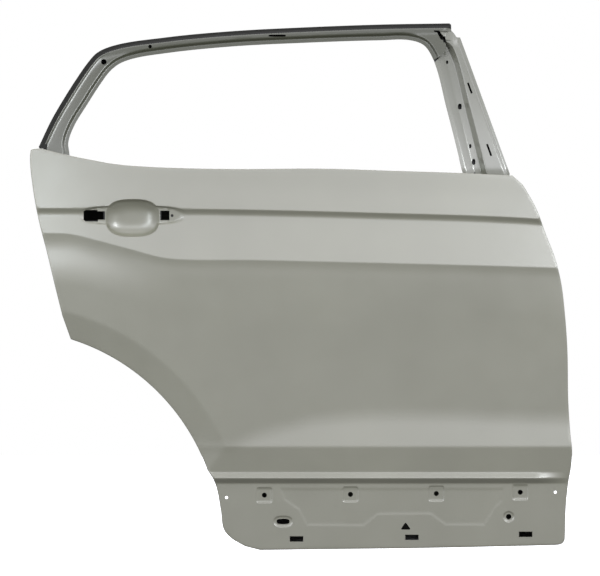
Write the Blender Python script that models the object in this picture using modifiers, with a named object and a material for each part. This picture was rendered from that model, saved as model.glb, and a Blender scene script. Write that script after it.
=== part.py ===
"""Bare shell of a right-hand rear car door: pressed skin, inner panel, window frame and reinforcements.

Grid: x runs forward from the rear wheel's centre, z up from it, and y inboard from the door's widest line.
The parts hang on one empty that moves the upper hinge face to the world's origin.
Each sheet is made as the real one is: a flat blank is cut, pressed to a depth for each point, then thickened.
"""

import math

import bpy
import bmesh
import numpy as np
from mathutils import Vector, geometry

# Sheets and the gaps between them
SKIN_SHEET = 0.0008
INNER_SHEET = 0.0008
FRAME_SHEET = 0.001
BRACKET_SHEET = 0.0015
HINGE_SHEET = 0.002
SEAT_GAP = 0.0003
HEM_GAP = 0.0005
HEM_RETURN = 0.008
HEM_STACK = 2 * SKIN_SHEET + INNER_SHEET + 2 * HEM_GAP
HEM_FOLD = HEM_STACK / 2
PANEL_EDGE_INSET = HEM_FOLD + 0.001

# Mesh sizes
OUTLINE_STEP = 0.036
GUIDE_STEP = 0.042
DOOR_SPAN = (0.030, 1.190)
FILL_SPACING = 0.062
FRAME_STEP = 0.034
FINE_STEP = 0.002
LINE_OVERRUN = 0.003
CUTTER_LENGTH = 0.020
GUIDE_EVERY = 20
MERGE = 0.00001

# Outline of the skin
ARCH_RADIUS = 0.443
ARCH_START_DEG = 19.9
ARCH_END_DEG = 72.6
BELT_LINE = [
    (0.0657, 0.8197), (0.0785, 0.8172), (0.1156, 0.8079), (0.1635, 0.7979), (0.2238, 0.7871),
    (0.2900, 0.7815), (0.4630, 0.7767), (0.6500, 0.7775), (0.8166, 0.7725), (0.9414, 0.7684),
    (1.0440, 0.7634), (1.0496, 0.7631),
]
FRONT_EDGE = [
    (1.0710, 0.7440), (1.0840, 0.7230), (1.1007, 0.6914), (1.1192, 0.6415), (1.1382, 0.5915),
    (1.1507, 0.5416), (1.1588, 0.4751), (1.1640, 0.4000), (1.1658, 0.2962), (1.1702, 0.2255),
    (1.1737, 0.1922), (1.1718, 0.1589), (1.1660, 0.1256), (1.1610, 0.0757), (1.1591, 0.0110),
]
BOTTOM_EDGE = [(1.1480, -0.0045), (0.9000, -0.0102), (0.6086, -0.0137), (0.5254, -0.0148)]
REAR_FOOT = [
    (0.4950, -0.0075), (0.4663, 0.0092), (0.4511, 0.0258), (0.4441, 0.0674), (0.4345, 0.1173),
    (0.4276, 0.1340),
]
REAR_EDGE = [
    (0.1154, 0.4709), (0.0988, 0.5375), (0.0828, 0.6040), (0.0657, 0.6706), (0.0535, 0.7372),
    (0.0474, 0.8037),
]
REAR_BELT_CORNER = [(0.0488, 0.8166), (0.0560, 0.8186)]
HEM_NOTCHES = [
    ((0.0470, 0.8060), (0.0795, 0.8230)), ((1.0410, 0.7390), (1.0720, 0.7700)),
    ((0.4240, 0.1200), (0.4440, 0.1380)),
]

# Creases of the skin, and how far each stands inboard
SHOULDER_LINE = [
    (0.0300, 0.6948), (0.3000, 0.6940), (0.5046, 0.6914), (0.7542, 0.6852), (1.0663, 0.6748),
    (1.1800, 0.6660),
]
WAIST_LINE = [
    (0.0300, 0.6455), (0.0782, 0.6436), (0.1302, 0.6415), (0.1926, 0.6269), (0.2550, 0.6103),
    (0.3174, 0.5936), (0.3486, 0.5895), (0.5046, 0.5874), (0.6918, 0.5832), (0.9414, 0.5770),
    (1.1800, 0.5700),
]
SHOULDER_BEND = 0.045
SHOULDER_SLOPE_LOW = 0.18
SHOULDER_SLOPE_HIGH = 0.15
UNDERCUT_HEIGHT = 0.010
UNDERCUT_STEP = 0.0055
UNDERCUT_DEPTH = 0.021
WAIST_SLOPE = 0.223
WAIST_LIP = 0.012
WAIST_LIP_STEP = 0.0015
HAUNCH_TOP = 0.030
HAUNCH_FOOT = 0.080
HAUNCH_DEPTH = 0.0028
PANEL_MIDDLE = 0.400
PANEL_MIDDLE_DEPTH = 0.0065
PANEL_FOOT_DEPTH = 0.0125
SILL_CREASE = 0.1995
FLARE_TOP = [(0.4650, 0.1999), (0.5025, 0.2172), (0.5795, 0.2400), (0.7126, 0.2750), (1.1900, 0.2750)]
FLARE_SLOPE = 0.12
RIM_WIDTH = 0.052
RIM_SLOPE = 0.118
RIDGE_TOP = 0.1464
RIDGE_CREST = 0.1340
RIDGE_FOOT = 0.1236
RIDGE_RISE = 0.005
RIDGE_STEP = 0.010
RIDGE_END = 1.128
RIDGE_FADE = 0.022
SKIRT_SLOPE = 0.037
BOW_CENTRE = 0.620
BOW_HALF = 0.550
BOW_DEPTH = 0.012

# Handle seat and bowl
SEAT_CENTRE = (0.2602, 0.6803)
SEAT_HALF = (0.1118, 0.0203)
SEAT_POWER = 3.2
SEAT_RAMP = 0.003
SEAT_DEPTH = 0.0215
SEAT_POINTS = 32
BOWL_CENTRE = (0.2609, 0.6745)
BOWL_HALF = (0.0560, 0.0390)
BOWL_POWER = 2.7
BOWL_DEPTH = 0.017
BOWL_RINGS = (0.88, 0.66, 0.36)
BOWL_POINTS = 26
RECESS_MARGIN = 1.02
LATCH_WINDOW = [
    (0.1590, 0.6720), (0.1635, 0.6690), (0.1880, 0.6690), (0.1880, 0.6720), (0.2005, 0.6720),
    (0.2005, 0.6885), (0.1880, 0.6885), (0.1880, 0.6912), (0.1635, 0.6912), (0.1590, 0.6885),
]
PIVOT_WINDOW = [(0.3205, 0.6705), (0.3370, 0.6705), (0.3370, 0.6895), (0.3205, 0.6895)]
HANDLE_PIN_HOLE = (0.3430, 0.6796)
HANDLE_PIN_RADIUS = 0.003
HANDLE_PLATE_OVERLAP = (0.008, 0.010)
HANDLE_PLATE_REACH = (0.025, 0.0235)
HANDLE_PLATE_CLEARANCE = 0.001
HANDLE_PLATE_RAMP = 0.006

# Skirt: pads, beads, slots and holes
PAD_PLACES = [(0.5346, 0.0990), (0.7134, 0.1007), (0.8917, 0.1023), (1.0660, 0.1050)]
PAD_SIDE = 0.031
PAD_STEP = 0.0018
PAD_RAMP = 0.0035
PAD_HOLE_RADIUS = 0.0052
EMBOSS_STEP = 0.0012
EMBOSS_RAMP = 0.005
EMBOSS_FIELD = [
    (0.5640, 0.1150), (0.5733, 0.0882), (0.6044, 0.0674), (0.6211, 0.0345), (0.7417, 0.0333),
    (0.7708, 0.0570), (0.8790, 0.0578), (0.9102, 0.0349), (0.9934, 0.0349), (1.0163, 0.0716),
    (1.0320, 0.0861), (1.0340, 0.1150),
]
CLIP_HOLES = [(0.4560, 0.0940), (1.1390, 0.1050)]
CLIP_HOLE_RADIUS = 0.0031
DRAIN_SLOTS = [(0.6013, 0.0081), (0.8409, 0.0114), (1.0772, 0.0177)]
DRAIN_SLOT_SIZE = (0.0279, 0.0112)
OVAL_HOLE = (0.5735, 0.0443)
OVAL_HALF = (0.0135, 0.0056)
OVAL_DIMPLE = 0.007
ROUND_HOLE = (1.0421, 0.0543)
ROUND_HOLE_RADIUS = 0.0056
ROUND_DIMPLE_RADIUS = 0.0125
TRIANGLE_HOLE = [(0.8200, 0.0292), (0.8364, 0.0292), (0.8282, 0.0412)]

# Inner panel
HINGE_WALL = 1.130
HINGE_WALL_SPAN = (0.025, 0.560)
LATCH_WALL = 0.128
LATCH_HEIGHT = 0.561
LATCH_WALL_REACH = (0.081, 0.045)
LATCH_WALL_SPAN = (LATCH_HEIGHT - LATCH_WALL_REACH[0], LATCH_HEIGHT + LATCH_WALL_REACH[1])
WALL_DRAFT = 0.006
WALL_LINE = [
    (0.0640, 0.9000), (0.0640, LATCH_WALL_SPAN[1] + 0.1840), (0.0735, LATCH_WALL_SPAN[1] + 0.0940),
    (0.0800, LATCH_WALL_SPAN[1] + 0.0490), (LATCH_WALL, LATCH_WALL_SPAN[1]),
    (LATCH_WALL, LATCH_WALL_SPAN[0]),
]
ARCH_WALL_INSET = 0.026
WALL_LINE_FOOT = [(0.4560, 0.1240), (0.4720, 0.0700), (0.4800, 0.0300), (0.5150, 0.0010)]
WALL_LINE_FRONT = [
    (1.1180, 0.0085), (HINGE_WALL, HINGE_WALL_SPAN[0]), (HINGE_WALL, HINGE_WALL_SPAN[1]),
    (1.1050, 0.6415), (1.0867, 0.6914), (1.0580, 0.7400), (1.0560, 0.9000),
]
BELT_DROP = 0.003
BELT_FACE_DEPTH = 0.100
TRIM_FACE_DEPTH = 0.128
FOOT_FACE_DEPTH = 0.112
FACE_STEP_TOP = 0.700
FACE_STEP_FOOT = 0.655
FACE_TAPER_TOP = 0.055
SERVICE_OPENING = ((0.600, 0.305), (1.000, 0.600))
SERVICE_RADIUS = 0.045
LATCH_OPENING = ((0.215, 0.500), (0.500, 0.600))
LATCH_OPENING_RADIUS = 0.035
SPEAKER_CENTRE = (0.800, 0.165)
SPEAKER_RADIUS = 0.078
SPEAKER_SEAT_RADIUS = 0.098
SPEAKER_SEAT_STEP = 0.005
SPEAKER_SEAT_RAMP = 0.006
SPEAKER_POINTS = 24
TRIM_HOLE_RADIUS = 0.0045
TRIM_HOLES = [
    (0.150, 0.680), (0.400, 0.680), (0.700, 0.680), (1.030, 0.680), (1.095, 0.420), (1.095, 0.235),
    (1.000, 0.060), (0.620, 0.060), (0.540, 0.250), (0.430, 0.400),
]
DRAIN_MATCHES = [(0.8409, 0.0110), (1.0772, 0.0160)]
DRAIN_MATCH_SIZE = (0.024, 0.0036)
REGULATOR_HOLES = [(0.560, 0.560), (0.560, 0.345), (1.045, 0.560), (1.045, 0.345)]
REGULATOR_HOLE_RADIUS = 0.0045

# Hinges, check strap and latch
HINGE_UPPER = 0.455
HINGE_LOWER = 0.150
HINGE_DEPTH = 0.078
HINGE_PLATE = (0.036, 0.086)
HINGE_PLATE_THICKNESS = 0.006
HINGE_BOLT_SPACING = 0.050
HINGE_BOLT_RADIUS = 0.0052
HINGE_REINFORCEMENT_HEIGHT = 0.124
HINGE_REINFORCEMENT_LEG = 0.040
HINGE_REINFORCEMENT_EDGE = 0.046
CHECK_HEIGHT = 0.265
CHECK_SLOT = (0.016, 0.038)
CHECK_PLATE_HEIGHT = 0.074
CHECK_PLATE_EDGES = (0.050, 0.108)
GROMMET_HEIGHT = 0.538
GROMMET_RADIUS = 0.014
LATCH_DEPTH = 0.085
LATCH_SLOT = (0.026, 0.038)
LATCH_BOLT_RADIUS = 0.0035
LATCH_BOLTS = [(-0.020, 0.026), (-0.020, -0.026), (0.022, 0.0)]
LATCH_REINFORCEMENT_HEIGHT = 0.078
LATCH_REINFORCEMENT_EDGE = 0.052
LATCH_REINFORCEMENT_LEG = 0.036

# Window frame
FRAME_DEPTH = 0.046
FRAME_LEAN_START = 0.777
FRAME_LEAN = 0.200
FRAME_CURVE_RADIUS = 1.100
FRAME_OUTER_EDGE = [
    (0.0653, 0.8224), (0.0917, 0.8786), (0.1156, 0.9203), (0.1416, 0.9619), (0.1687, 1.0008),
    (0.1851, 1.0186), (0.2149, 1.0325), (0.3278, 1.0512), (0.4651, 1.0643), (0.6086, 1.0720),
    (0.7750, 1.0783), (0.9200, 1.0808),
]
FRAME_CORNER = [(0.9235, 1.0780), (0.9240, 1.0655)]
FRAME_FRONT_EDGE = [(0.9352, 1.0516), (0.9422, 1.0512), (1.0444, 0.7673), (1.0444, 0.7000)]
OPENING_EDGE = [
    (0.1290, 0.7350), (0.1294, 0.8068), (0.1267, 0.8308), (0.1369, 0.8626), (0.1666, 0.9127),
    (0.1964, 0.9591), (0.2130, 0.9810), (0.2317, 0.9962), (0.2560, 1.0060), (0.3278, 1.0186),
    (0.4651, 1.0327),
    (0.6086, 1.0402), (0.7750, 1.0458), (0.8374, 1.0460), (0.8660, 1.0360), (0.8817, 1.0150),
    (0.9144, 0.8994), (0.9468, 0.7684), (0.9628, 0.7000),
]
FRAME_JOINT = [
    (0.9240, 1.0640), (0.8936, 1.0640), (0.9019, 1.0534), (0.9113, 1.0409), (0.9130, 1.0250),
    (0.9010, 1.0120), (0.8860, 1.0010),
]
FRAME_JOINT_GAP = 0.002
JOINT_TO_FRONT = [(0.8600, 0.9000), (0.8600, 0.6), (1.2, 0.6), (1.2, 1.3), (0.9240, 1.3)]
JOINT_TO_REAR = [(0.8600, 0.9000), (0.8600, 0.6), (0.0, 0.6), (0.0, 1.3), (0.9240, 1.3)]
FRAME_BOX_CORNER = [(0.9150, 1.0720), (0.9440, 1.0430)]
OUTER_BAND = 0.006
OUTER_BAND_STEP = 0.005
OUTER_CREASE = 0.010
FACE_FALL = 0.005
FACE_FALL_WIDTH = 0.012
OPENING_FLANGE = 0.008
OPENING_FLANGE_STEP = 0.012
OPENING_STEP_START = 0.0125
FRAME_SEAT = 0.0005
FRAME_INNER_INSET = 0.0004
FRAME_BOX_DEPTH = 0.032
FRAME_BOX_WALL = 0.004
CHANNEL_FLOOR_STEP = 0.020
CHANNEL_SLOPE_END = 0.024
CHANNEL_FLOOR_END = 0.038
CHANNEL_WALL_END = 0.048
CHANNEL_RISE = 1.6
REAR_FOOT_EDGE = 0.082
REAR_FOOT_END = OPENING_EDGE[0][1]
FRONT_FOOT_END = OPENING_EDGE[-1][1]
FOOT_NOTCH = 0.8186
FOOT_NOTCH_RAMP = (0.006, 0.004)
ABOVE_NOTCH = (FRAME_OUTER_EDGE[0][0] + 0.002, FOOT_NOTCH + 0.001)
PILLAR_HOLES = [((0.9151, 0.9996), (0.0022, 0.0036)), ((0.9412, 0.9068), (0.0040, 0.0060)),
                ((0.9626, 0.8245), (0.0026, 0.0042))]
PILLAR_SLOTS = [((0.9620, 0.9452), 0.0110), ((1.0017, 0.8162), 0.0130)]
PILLAR_SLOT_WIDTH = 0.0040
PILLAR_DIRECTION = (0.339, -0.941)
HEADER_HOLE = (0.2001, 1.0001)
HEADER_HOLE_RADIUS = 0.0050
HEADER_SLOT = (0.5611, 1.0549)
HEADER_SLOT_HALF = (0.018, 0.0022)

# Rails, beam and small pieces
BELT_RAIL_HEIGHT = 0.064
BELT_RAIL_TOP_FLANGE = 0.016
BELT_RAIL_RAMP = 0.008
BELT_RAIL_HAT = 0.012
BELT_RAIL_ENDS = (0.080, 1.044)
BELT_RAIL_HAT_ENDS = (0.170, 0.900)
BELT_RAIL_FADE = 0.030
INNER_RAIL_ENDS = (0.150, 0.930)
INNER_RAIL_HAT = 0.014
INNER_RAIL_HEIGHT = 0.062
INNER_RAIL_EDGE = 0.002
INNER_RAIL_FLANGE = 0.012
INNER_RAIL_RAMP = 0.006
RAIL_STEP = 0.060
BEAM_RADIUS = 0.015
BEAM_WALL = 0.002
BEAM_DEPTH = 0.042
BEAM_FRONT = (1.105, 0.352)
LATCH_ABOVE_BEAM = 0.056
BEAM_REAR = (0.185, LATCH_HEIGHT - LATCH_ABOVE_BEAM)
BEAM_SIDES = 16
SADDLE_LENGTH = 0.070
SADDLE_HALF_HEIGHT = 0.0175
PAD_BEAM_PLACES = (0.360, 0.560, 0.760, 0.940)
PAD_BLOB_RADIUS = 0.014
GUIDE_DEPTHS = (0.050, 0.066)
GUIDE_WIDTH = 0.014
GUIDE_SHEET = 0.001
FRONT_GUIDE_TOP = (0.974, FRONT_FOOT_END)
FRONT_GUIDE_END = 0.480
REAR_GUIDE_TOP = (0.105, REAR_FOOT_END)
REAR_GUIDE_ABOVE_LATCH = 0.054
REAR_GUIDE_END = LATCH_HEIGHT + REAR_GUIDE_ABOVE_LATCH
GUIDE_SLOPE = 0.26
GUIDE_BRACKET_HEIGHT = 0.030
GUIDE_BRACKET_CLEARANCE = 0.002
GUIDE_BRACKET_STATIONS = (-0.008, 0.014, 0.044)
NUT_RADIUS = 0.0085
NUT_HEIGHT = 0.007
GUSSET_LEG = 0.030
GUSSET_CLEARANCE = 0.002
GUSSET_STEP_HEIGHT = 0.014
GUSSET_END_CLEARANCE = 0.001
FRONT_GUSSET_LIFT = 0.022

# Materials: colour, roughness, metallic
PRIMER = ((0.335, 0.340, 0.285), 0.42, 0.35)
FRAME_PRIMER = ((0.270, 0.272, 0.235), 0.34, 0.45)
BARE_STEEL = ((0.46, 0.47, 0.47), 0.40, 0.9)
MASTIC = ((0.05, 0.05, 0.05), 0.8, 0.0)


# Lines and loops

def curve_through(points, step):
    """Points about a step apart along a smooth curve through the given ones."""
    p = np.array(points, float)
    lengths = np.linalg.norm(np.diff(p, axis=0), axis=1)
    chords = np.diff(p, axis=0) / lengths[:, None]
    tangents = np.vstack([chords[:1], chords[:-1] + chords[1:], chords[-1:]])
    tangents[1:-1] /= 2
    made = []
    for i, length in enumerate(lengths):
        count = max(1, round(length / step))
        t = np.arange(count)[:, None] / count
        a = (1 + 2 * t) * (1 - t) ** 2 * p[i] + t ** 2 * (3 - 2 * t) * p[i + 1]
        b = t * (1 - t) ** 2 * tangents[i] - t ** 2 * (1 - t) * tangents[i + 1]
        made.append(a + b * length)
    made.append(p[-1:])
    return np.vstack(made)


def height_of(points):
    """z as a smooth function of x through the given points."""
    fine = curve_through(points, 0.006)
    return lambda x: np.interp(x, fine[:, 0], fine[:, 1])


def straight_through(points, step):
    """Points along straight runs between the given ones."""
    made = []
    for a, b in zip(points[:-1], points[1:]):
        count = max(1, round(math.dist(a, b) / step))
        made += [tuple(np.array(a) + (np.array(b) - np.array(a)) * k / count) for k in range(count)]
    return np.array(made + [points[-1]])


def superellipse(centre, half, power, count, scale=1.0):
    angles = np.arange(count) * 2 * math.pi / count
    c, s = np.cos(angles), np.sin(angles)
    x = np.sign(c) * np.abs(c) ** (2 / power) * half[0] * scale
    z = np.sign(s) * np.abs(s) ** (2 / power) * half[1] * scale
    return np.column_stack([centre[0] + x, centre[1] + z])


def circle(centre, radius, count):
    return superellipse(centre, (radius, radius), 2, count)


def rectangle(centre, size):
    x, z = centre
    a, b = size[0] / 2, size[1] / 2
    return np.array([(x - a, z - b), (x + a, z - b), (x + a, z + b), (x - a, z + b)])


def rounded_rectangle(low, high, radius, corner_points):
    loop = []
    corners = [(high[0], low[1], -90), (high[0], high[1], 0), (low[0], high[1], 90), (low[0], low[1], 180)]
    for x, z, start in corners:
        cx = x - radius if x == high[0] else x + radius
        cz = z - radius if z == high[1] else z + radius
        for k in range(corner_points):
            angle = math.radians(start + 90 * k / (corner_points - 1))
            loop.append((cx + radius * math.cos(angle), cz + radius * math.sin(angle)))
    return np.array(loop)


def refined(loop, step):
    """A closed loop with points added so that no side is longer than about a step."""
    return straight_through([tuple(p) for p in loop] + [tuple(loop[0])], step)[:-1]


def inset(loop, distance):
    """A closed anticlockwise loop moved inwards, with mitred corners."""
    before = loop - np.roll(loop, 1, axis=0)
    after = np.roll(loop, -1, axis=0) - loop
    before = before / np.linalg.norm(before, axis=1)[:, None]
    after = after / np.linalg.norm(after, axis=1)[:, None]
    normals = np.column_stack([-(before + after)[:, 1], (before + after)[:, 0]])
    normals = normals / np.linalg.norm(normals, axis=1)[:, None]
    cosines = np.maximum((normals * np.column_stack([-after[:, 1], after[:, 0]])).sum(axis=1), 0.6)
    return loop + normals * (distance / cosines)[:, None]


def moved_sideways(line, distance):
    """An open line moved to its left, with mitred corners."""
    runs = np.diff(line, axis=0)
    runs = runs / np.linalg.norm(runs, axis=1)[:, None]
    steps = np.vstack([runs[:1], runs[:-1] + runs[1:], runs[-1:]])
    steps = steps / np.linalg.norm(steps, axis=1)[:, None]
    cosines = np.maximum((steps * np.vstack([runs, runs[-1:]])).sum(axis=1), 0.6)
    return line + np.column_stack([-steps[:, 1], steps[:, 0]]) * (distance / cosines)[:, None]


def distance_to(points, line, closed):
    """The distance of each point from a line."""
    ends = np.roll(line, -1, axis=0) if closed else line[1:]
    starts = line if closed else line[:-1]
    along = ends - starts
    best = np.full(len(points), np.inf)
    for start, step in zip(starts, along):
        length = max(step @ step, 1e-16)
        t = np.clip((points - start) @ step / length, 0, 1)
        best = np.minimum(best, np.linalg.norm(points - start - t[:, None] * step, axis=1))
    return best


def inside(points, loop):
    x, z = points.T
    found = np.zeros(len(points), bool)
    for (x0, z0), (x1, z1) in zip(loop, np.roll(loop, -1, axis=0)):
        if z0 == z1:
            continue
        crosses = (z0 > z) != (z1 > z)
        found ^= crosses & (x < x0 + (z - z0) / (z1 - z0) * (x1 - x0))
    return found


def depth_inside(points, loop):
    """How far each point lies inside a loop, less than nothing outside it."""
    return np.where(inside(points, loop), 1, -1) * distance_to(points, loop, True)


def ramp(values):
    return np.clip(values, 0, 1)


def between(values, span, margin=0.0):
    return (values > span[0] - margin) & (values < span[1] + margin)


# Blanks: flat triangle meshes over an outline

def fill_points(outline, obstacles, spacing):
    low, high = outline.min(axis=0), outline.max(axis=0)
    rows = np.arange(low[1] + spacing / 2, high[1], spacing * 0.87)
    grid = [
        (x, z)
        for k, z in enumerate(rows)
        for x in np.arange(low[0] + spacing * (0.5 if k % 2 else 0.0), high[0], spacing)
    ]
    points = np.array(grid).reshape(-1, 2)
    points = points[inside(points, outline)]
    for line, closed in obstacles:
        points = points[distance_to(points, line, closed) > spacing * 0.48]
    return points


def blank(outline, holes=(), loops=(), lines=(), spacing=FILL_SPACING):
    """Triangles over an outline less its holes, with edges along the loops and lines given."""
    obstacles = [(outline, True)] + [(h, True) for h in holes] + [(p, True) for p in loops]
    obstacles += [(line, False) for line in lines]
    points, edges = [], []
    for line, closed in obstacles:
        first, count = len(points), len(line)
        points += [Vector(p) for p in line]
        edges += [(first + k, first + (k + 1) % count) for k in range(count if closed else count - 1)]
    points += [Vector(p) for p in fill_points(outline, obstacles, spacing)]
    made = geometry.delaunay_2d_cdt(points, edges, [], 1, MERGE)
    plan = np.array([tuple(v) for v in made[0]])
    faces = np.array([tuple(f) for f in made[2]])
    centres = plan[faces].mean(axis=1)
    kept = inside(centres, outline)
    for hole in holes:
        kept &= ~inside(centres, hole)
    faces = faces[kept]
    a, b, c = (plan[faces[:, k]] for k in range(3))
    area = (b - a)[:, 0] * (c - a)[:, 1] - (b - a)[:, 1] * (c - a)[:, 0]
    faces[area < 0] = faces[area < 0][:, ::-1]
    return compact(plan, faces)


def compact(points, faces):
    used = np.unique(faces)
    place = np.zeros(len(points), int)
    place[used] = np.arange(len(used))
    return points[used], place[faces]


def outer_boundary(plan, faces):
    """The vertices round the outside of a blank, in order."""
    directed = {(int(f[k]), int(f[(k + 1) % 3])) for f in faces for k in range(3)}
    follows = {a: b for a, b in directed if (b, a) not in directed}
    loops = []
    while follows:
        start, at = next(iter(follows.items()))
        loop = [start]
        del follows[start]
        while at != start:
            loop.append(at)
            at = follows.pop(at)
        loops.append(loop)
    return max(loops, key=lambda loop: np.ptp(plan[loop], axis=0).sum())


# Objects

def material(name, look):
    colour, roughness, metallic = look
    made = bpy.data.materials.new(name)
    made.use_nodes = True
    shader = made.node_tree.nodes["Principled BSDF"]
    shader.inputs["Base Color"].default_value = (*colour, 1)
    shader.inputs["Roughness"].default_value = roughness
    shader.inputs["Metallic"].default_value = metallic
    return made


def place(obj, look):
    obj.data.materials.append(look)
    obj.parent = root
    parts.objects.link(obj)
    return obj


def mesh_object(name, points, faces, look):
    mesh = bpy.data.meshes.new(name)
    mesh.from_pydata([tuple(map(float, p)) for p in points], [], [tuple(map(int, f)) for f in faces])
    mesh.update()
    return place(bpy.data.objects.new(name, mesh), look)


def thicken(obj, sheet):
    solid = obj.modifiers.new("sheet", "SOLIDIFY")
    solid.thickness = sheet
    solid.offset = -1.0
    solid.use_even_offset = True
    return obj


def pressed(name, plan, faces, depth, sheet, look):
    """A blank pressed to depth(x, z), whose outboard side is the one given."""
    points = np.column_stack([plan[:, 0], depth(plan[:, 0], plan[:, 1]), plan[:, 1]])
    return thicken(mesh_object(name, points, faces, look), sheet)


def folded(name, path, span, axis, sheet, look):
    """A strip folded along a path of (u, v) points and drawn out along an axis from span[0] to span[1]."""
    order = {"x": lambda u, v, w: (w, u, v), "z": lambda u, v, w: (u, v, w)}[axis]
    points = [order(u, v, w) for w in span for u, v in path]
    count = len(path)
    faces = [(k, k + 1, count + k + 1, count + k) for k in range(count - 1)]
    return thicken(mesh_object(name, points, faces, look), sheet)


def box(name, low, high, look, bevel=0.0):
    mesh = bpy.data.meshes.new(name)
    work = bmesh.new()
    bmesh.ops.create_cube(work, size=1.0)
    size = Vector(high) - Vector(low)
    bmesh.ops.scale(work, vec=size, verts=work.verts)
    work.to_mesh(mesh)
    work.free()
    obj = place(bpy.data.objects.new(name, mesh), look)
    obj.location = (Vector(low) + Vector(high)) / 2
    if bevel:
        rounded = obj.modifiers.new("edges", "BEVEL")
        rounded.width = bevel
        rounded.segments = 1
    return obj


def cut(obj, cutter):
    made = obj.modifiers.new(cutter.name, "BOOLEAN")
    made.operation = "DIFFERENCE"
    made.object = cutter


def as_cutter(obj):
    parts.objects.unlink(obj)
    cutters.objects.link(obj)
    obj.hide_render = True
    obj.display_type = "WIRE"
    return obj


def drill(name, centre, radius, length, axis, sides=12):
    """A round cutter along x, y or z."""
    mesh = bpy.data.meshes.new(name)
    work = bmesh.new()
    bmesh.ops.create_cone(
        work, cap_ends=True, segments=sides, radius1=radius, radius2=radius, depth=length
    )
    work.to_mesh(mesh)
    work.free()
    obj = place(bpy.data.objects.new(name, mesh), primer)
    obj.location = centre
    obj.rotation_euler = {"x": (0, math.pi / 2, 0), "y": (math.pi / 2, 0, 0), "z": (0, 0, 0)}[axis]
    return as_cutter(obj)


def slot_cutter(name, centre, size):
    half = Vector(size) / 2
    return as_cutter(box(name, Vector(centre) - half, Vector(centre) + half, primer))


# The skin's shape

belt_height = height_of(BELT_LINE)
shoulder_height = height_of(SHOULDER_LINE)
waist_height = height_of(WAIST_LINE)
flare_height = height_of(FLARE_TOP)
RIM_RADIUS = ARCH_RADIUS + RIM_WIDTH


def bow(x):
    return BOW_DEPTH * ((x - BOW_CENTRE) / BOW_HALF) ** 2


def skin_outline(step=OUTLINE_STEP):
    """The edge of the finished skin, anticlockwise seen from outboard."""
    arch_angles = np.radians(np.linspace(ARCH_START_DEG, ARCH_END_DEG, max(4, round(0.41 / step))))
    arch = ARCH_RADIUS * np.column_stack([np.cos(arch_angles), np.sin(arch_angles)])
    runs = [
        curve_through(BELT_LINE, step)[::-1],
        curve_through(REAR_EDGE + REAR_BELT_CORNER, step)[::-1],
        arch[::-1],
        curve_through(REAR_FOOT, step * 0.7)[::-1],
        curve_through(BOTTOM_EDGE, step)[::-1],
        curve_through(FRONT_EDGE, step)[::-1],
    ]
    return np.vstack(runs)


def stations(x):
    """Heights and depths of the creases at x, from the belt down."""
    shoulder, waist = shoulder_height(x), waist_height(x)
    undercut = shoulder - UNDERCUT_HEIGHT
    flare = np.minimum(flare_height(x), PANEL_MIDDLE - 0.01)
    waist_depth = UNDERCUT_DEPTH - WAIST_SLOPE * (undercut - waist)
    shoulder_depth = UNDERCUT_DEPTH - UNDERCUT_STEP
    bend_depth = shoulder_depth + SHOULDER_SLOPE_LOW * SHOULDER_BEND
    lip_depth = waist_depth + WAIST_LIP_STEP
    fall = (PANEL_FOOT_DEPTH - PANEL_MIDDLE_DEPTH) / (PANEL_MIDDLE - SILL_CREASE)
    flare_depth = PANEL_MIDDLE_DEPTH + fall * (PANEL_MIDDLE - flare)
    sill_depth = flare_depth - FLARE_SLOPE * (flare - SILL_CREASE)
    ridge_depth = sill_depth + RIM_SLOPE * (SILL_CREASE - RIDGE_TOP)
    fade = ramp((RIDGE_END - x) / RIDGE_FADE + 1)
    foot_depth = ridge_depth - RIDGE_RISE + RIDGE_STEP
    plain_depth = (ridge_depth + foot_depth) / 2
    crest_depth = plain_depth + (ridge_depth - RIDGE_RISE - plain_depth) * fade
    same = np.ones_like(x)
    top, bottom = shoulder + 0.2, -0.1
    skirt_depth = foot_depth + SKIRT_SLOPE * (RIDGE_FOOT - bottom)
    top_depth = bend_depth + SHOULDER_SLOPE_HIGH * (top - shoulder - SHOULDER_BEND)
    return [
        (top, top_depth),
        (shoulder + SHOULDER_BEND, bend_depth * same),
        (shoulder, shoulder_depth * same),
        (undercut, UNDERCUT_DEPTH * same),
        (waist, waist_depth),
        (waist - WAIST_LIP, lip_depth),
        (waist - HAUNCH_TOP, lip_depth),
        (waist - HAUNCH_FOOT, HAUNCH_DEPTH * same),
        (PANEL_MIDDLE * same, PANEL_MIDDLE_DEPTH * same),
        (flare, flare_depth),
        (SILL_CREASE * same, sill_depth),
        (RIDGE_TOP * same, ridge_depth),
        (RIDGE_CREST * same, crest_depth),
        (RIDGE_FOOT * same, foot_depth),
        (bottom * same, skirt_depth),
    ]


def section_depth(x, z):
    """Depth of the pressed section at x and z, before the rim, the bow and the local features."""
    made = stations(x)
    depth = np.zeros_like(x)
    for (z0, y0), (z1, y1) in zip(made[:-1], made[1:]):
        t = (z0 - z) / (z0 - z1)
        depth = np.where((z <= z0) & (z > z1), y0 + (y1 - y0) * t, depth)
    return depth


def plain_skin_depth(x, z):
    past_rim = np.maximum(RIM_RADIUS - np.hypot(x, z), 0) * (x > 0)
    below_sill = np.maximum(SILL_CREASE - z, 0)
    rim = RIM_SLOPE * np.maximum(past_rim - below_sill, 0)
    return section_depth(x, z) + rim + bow(x)


def superellipse_reach(x, z, centre, half, power):
    across_share = np.abs((x - centre[0]) / half[0]) ** power
    up_share = np.abs((z - centre[1]) / half[1]) ** power
    return (across_share + up_share) ** (1 / power)


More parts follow.
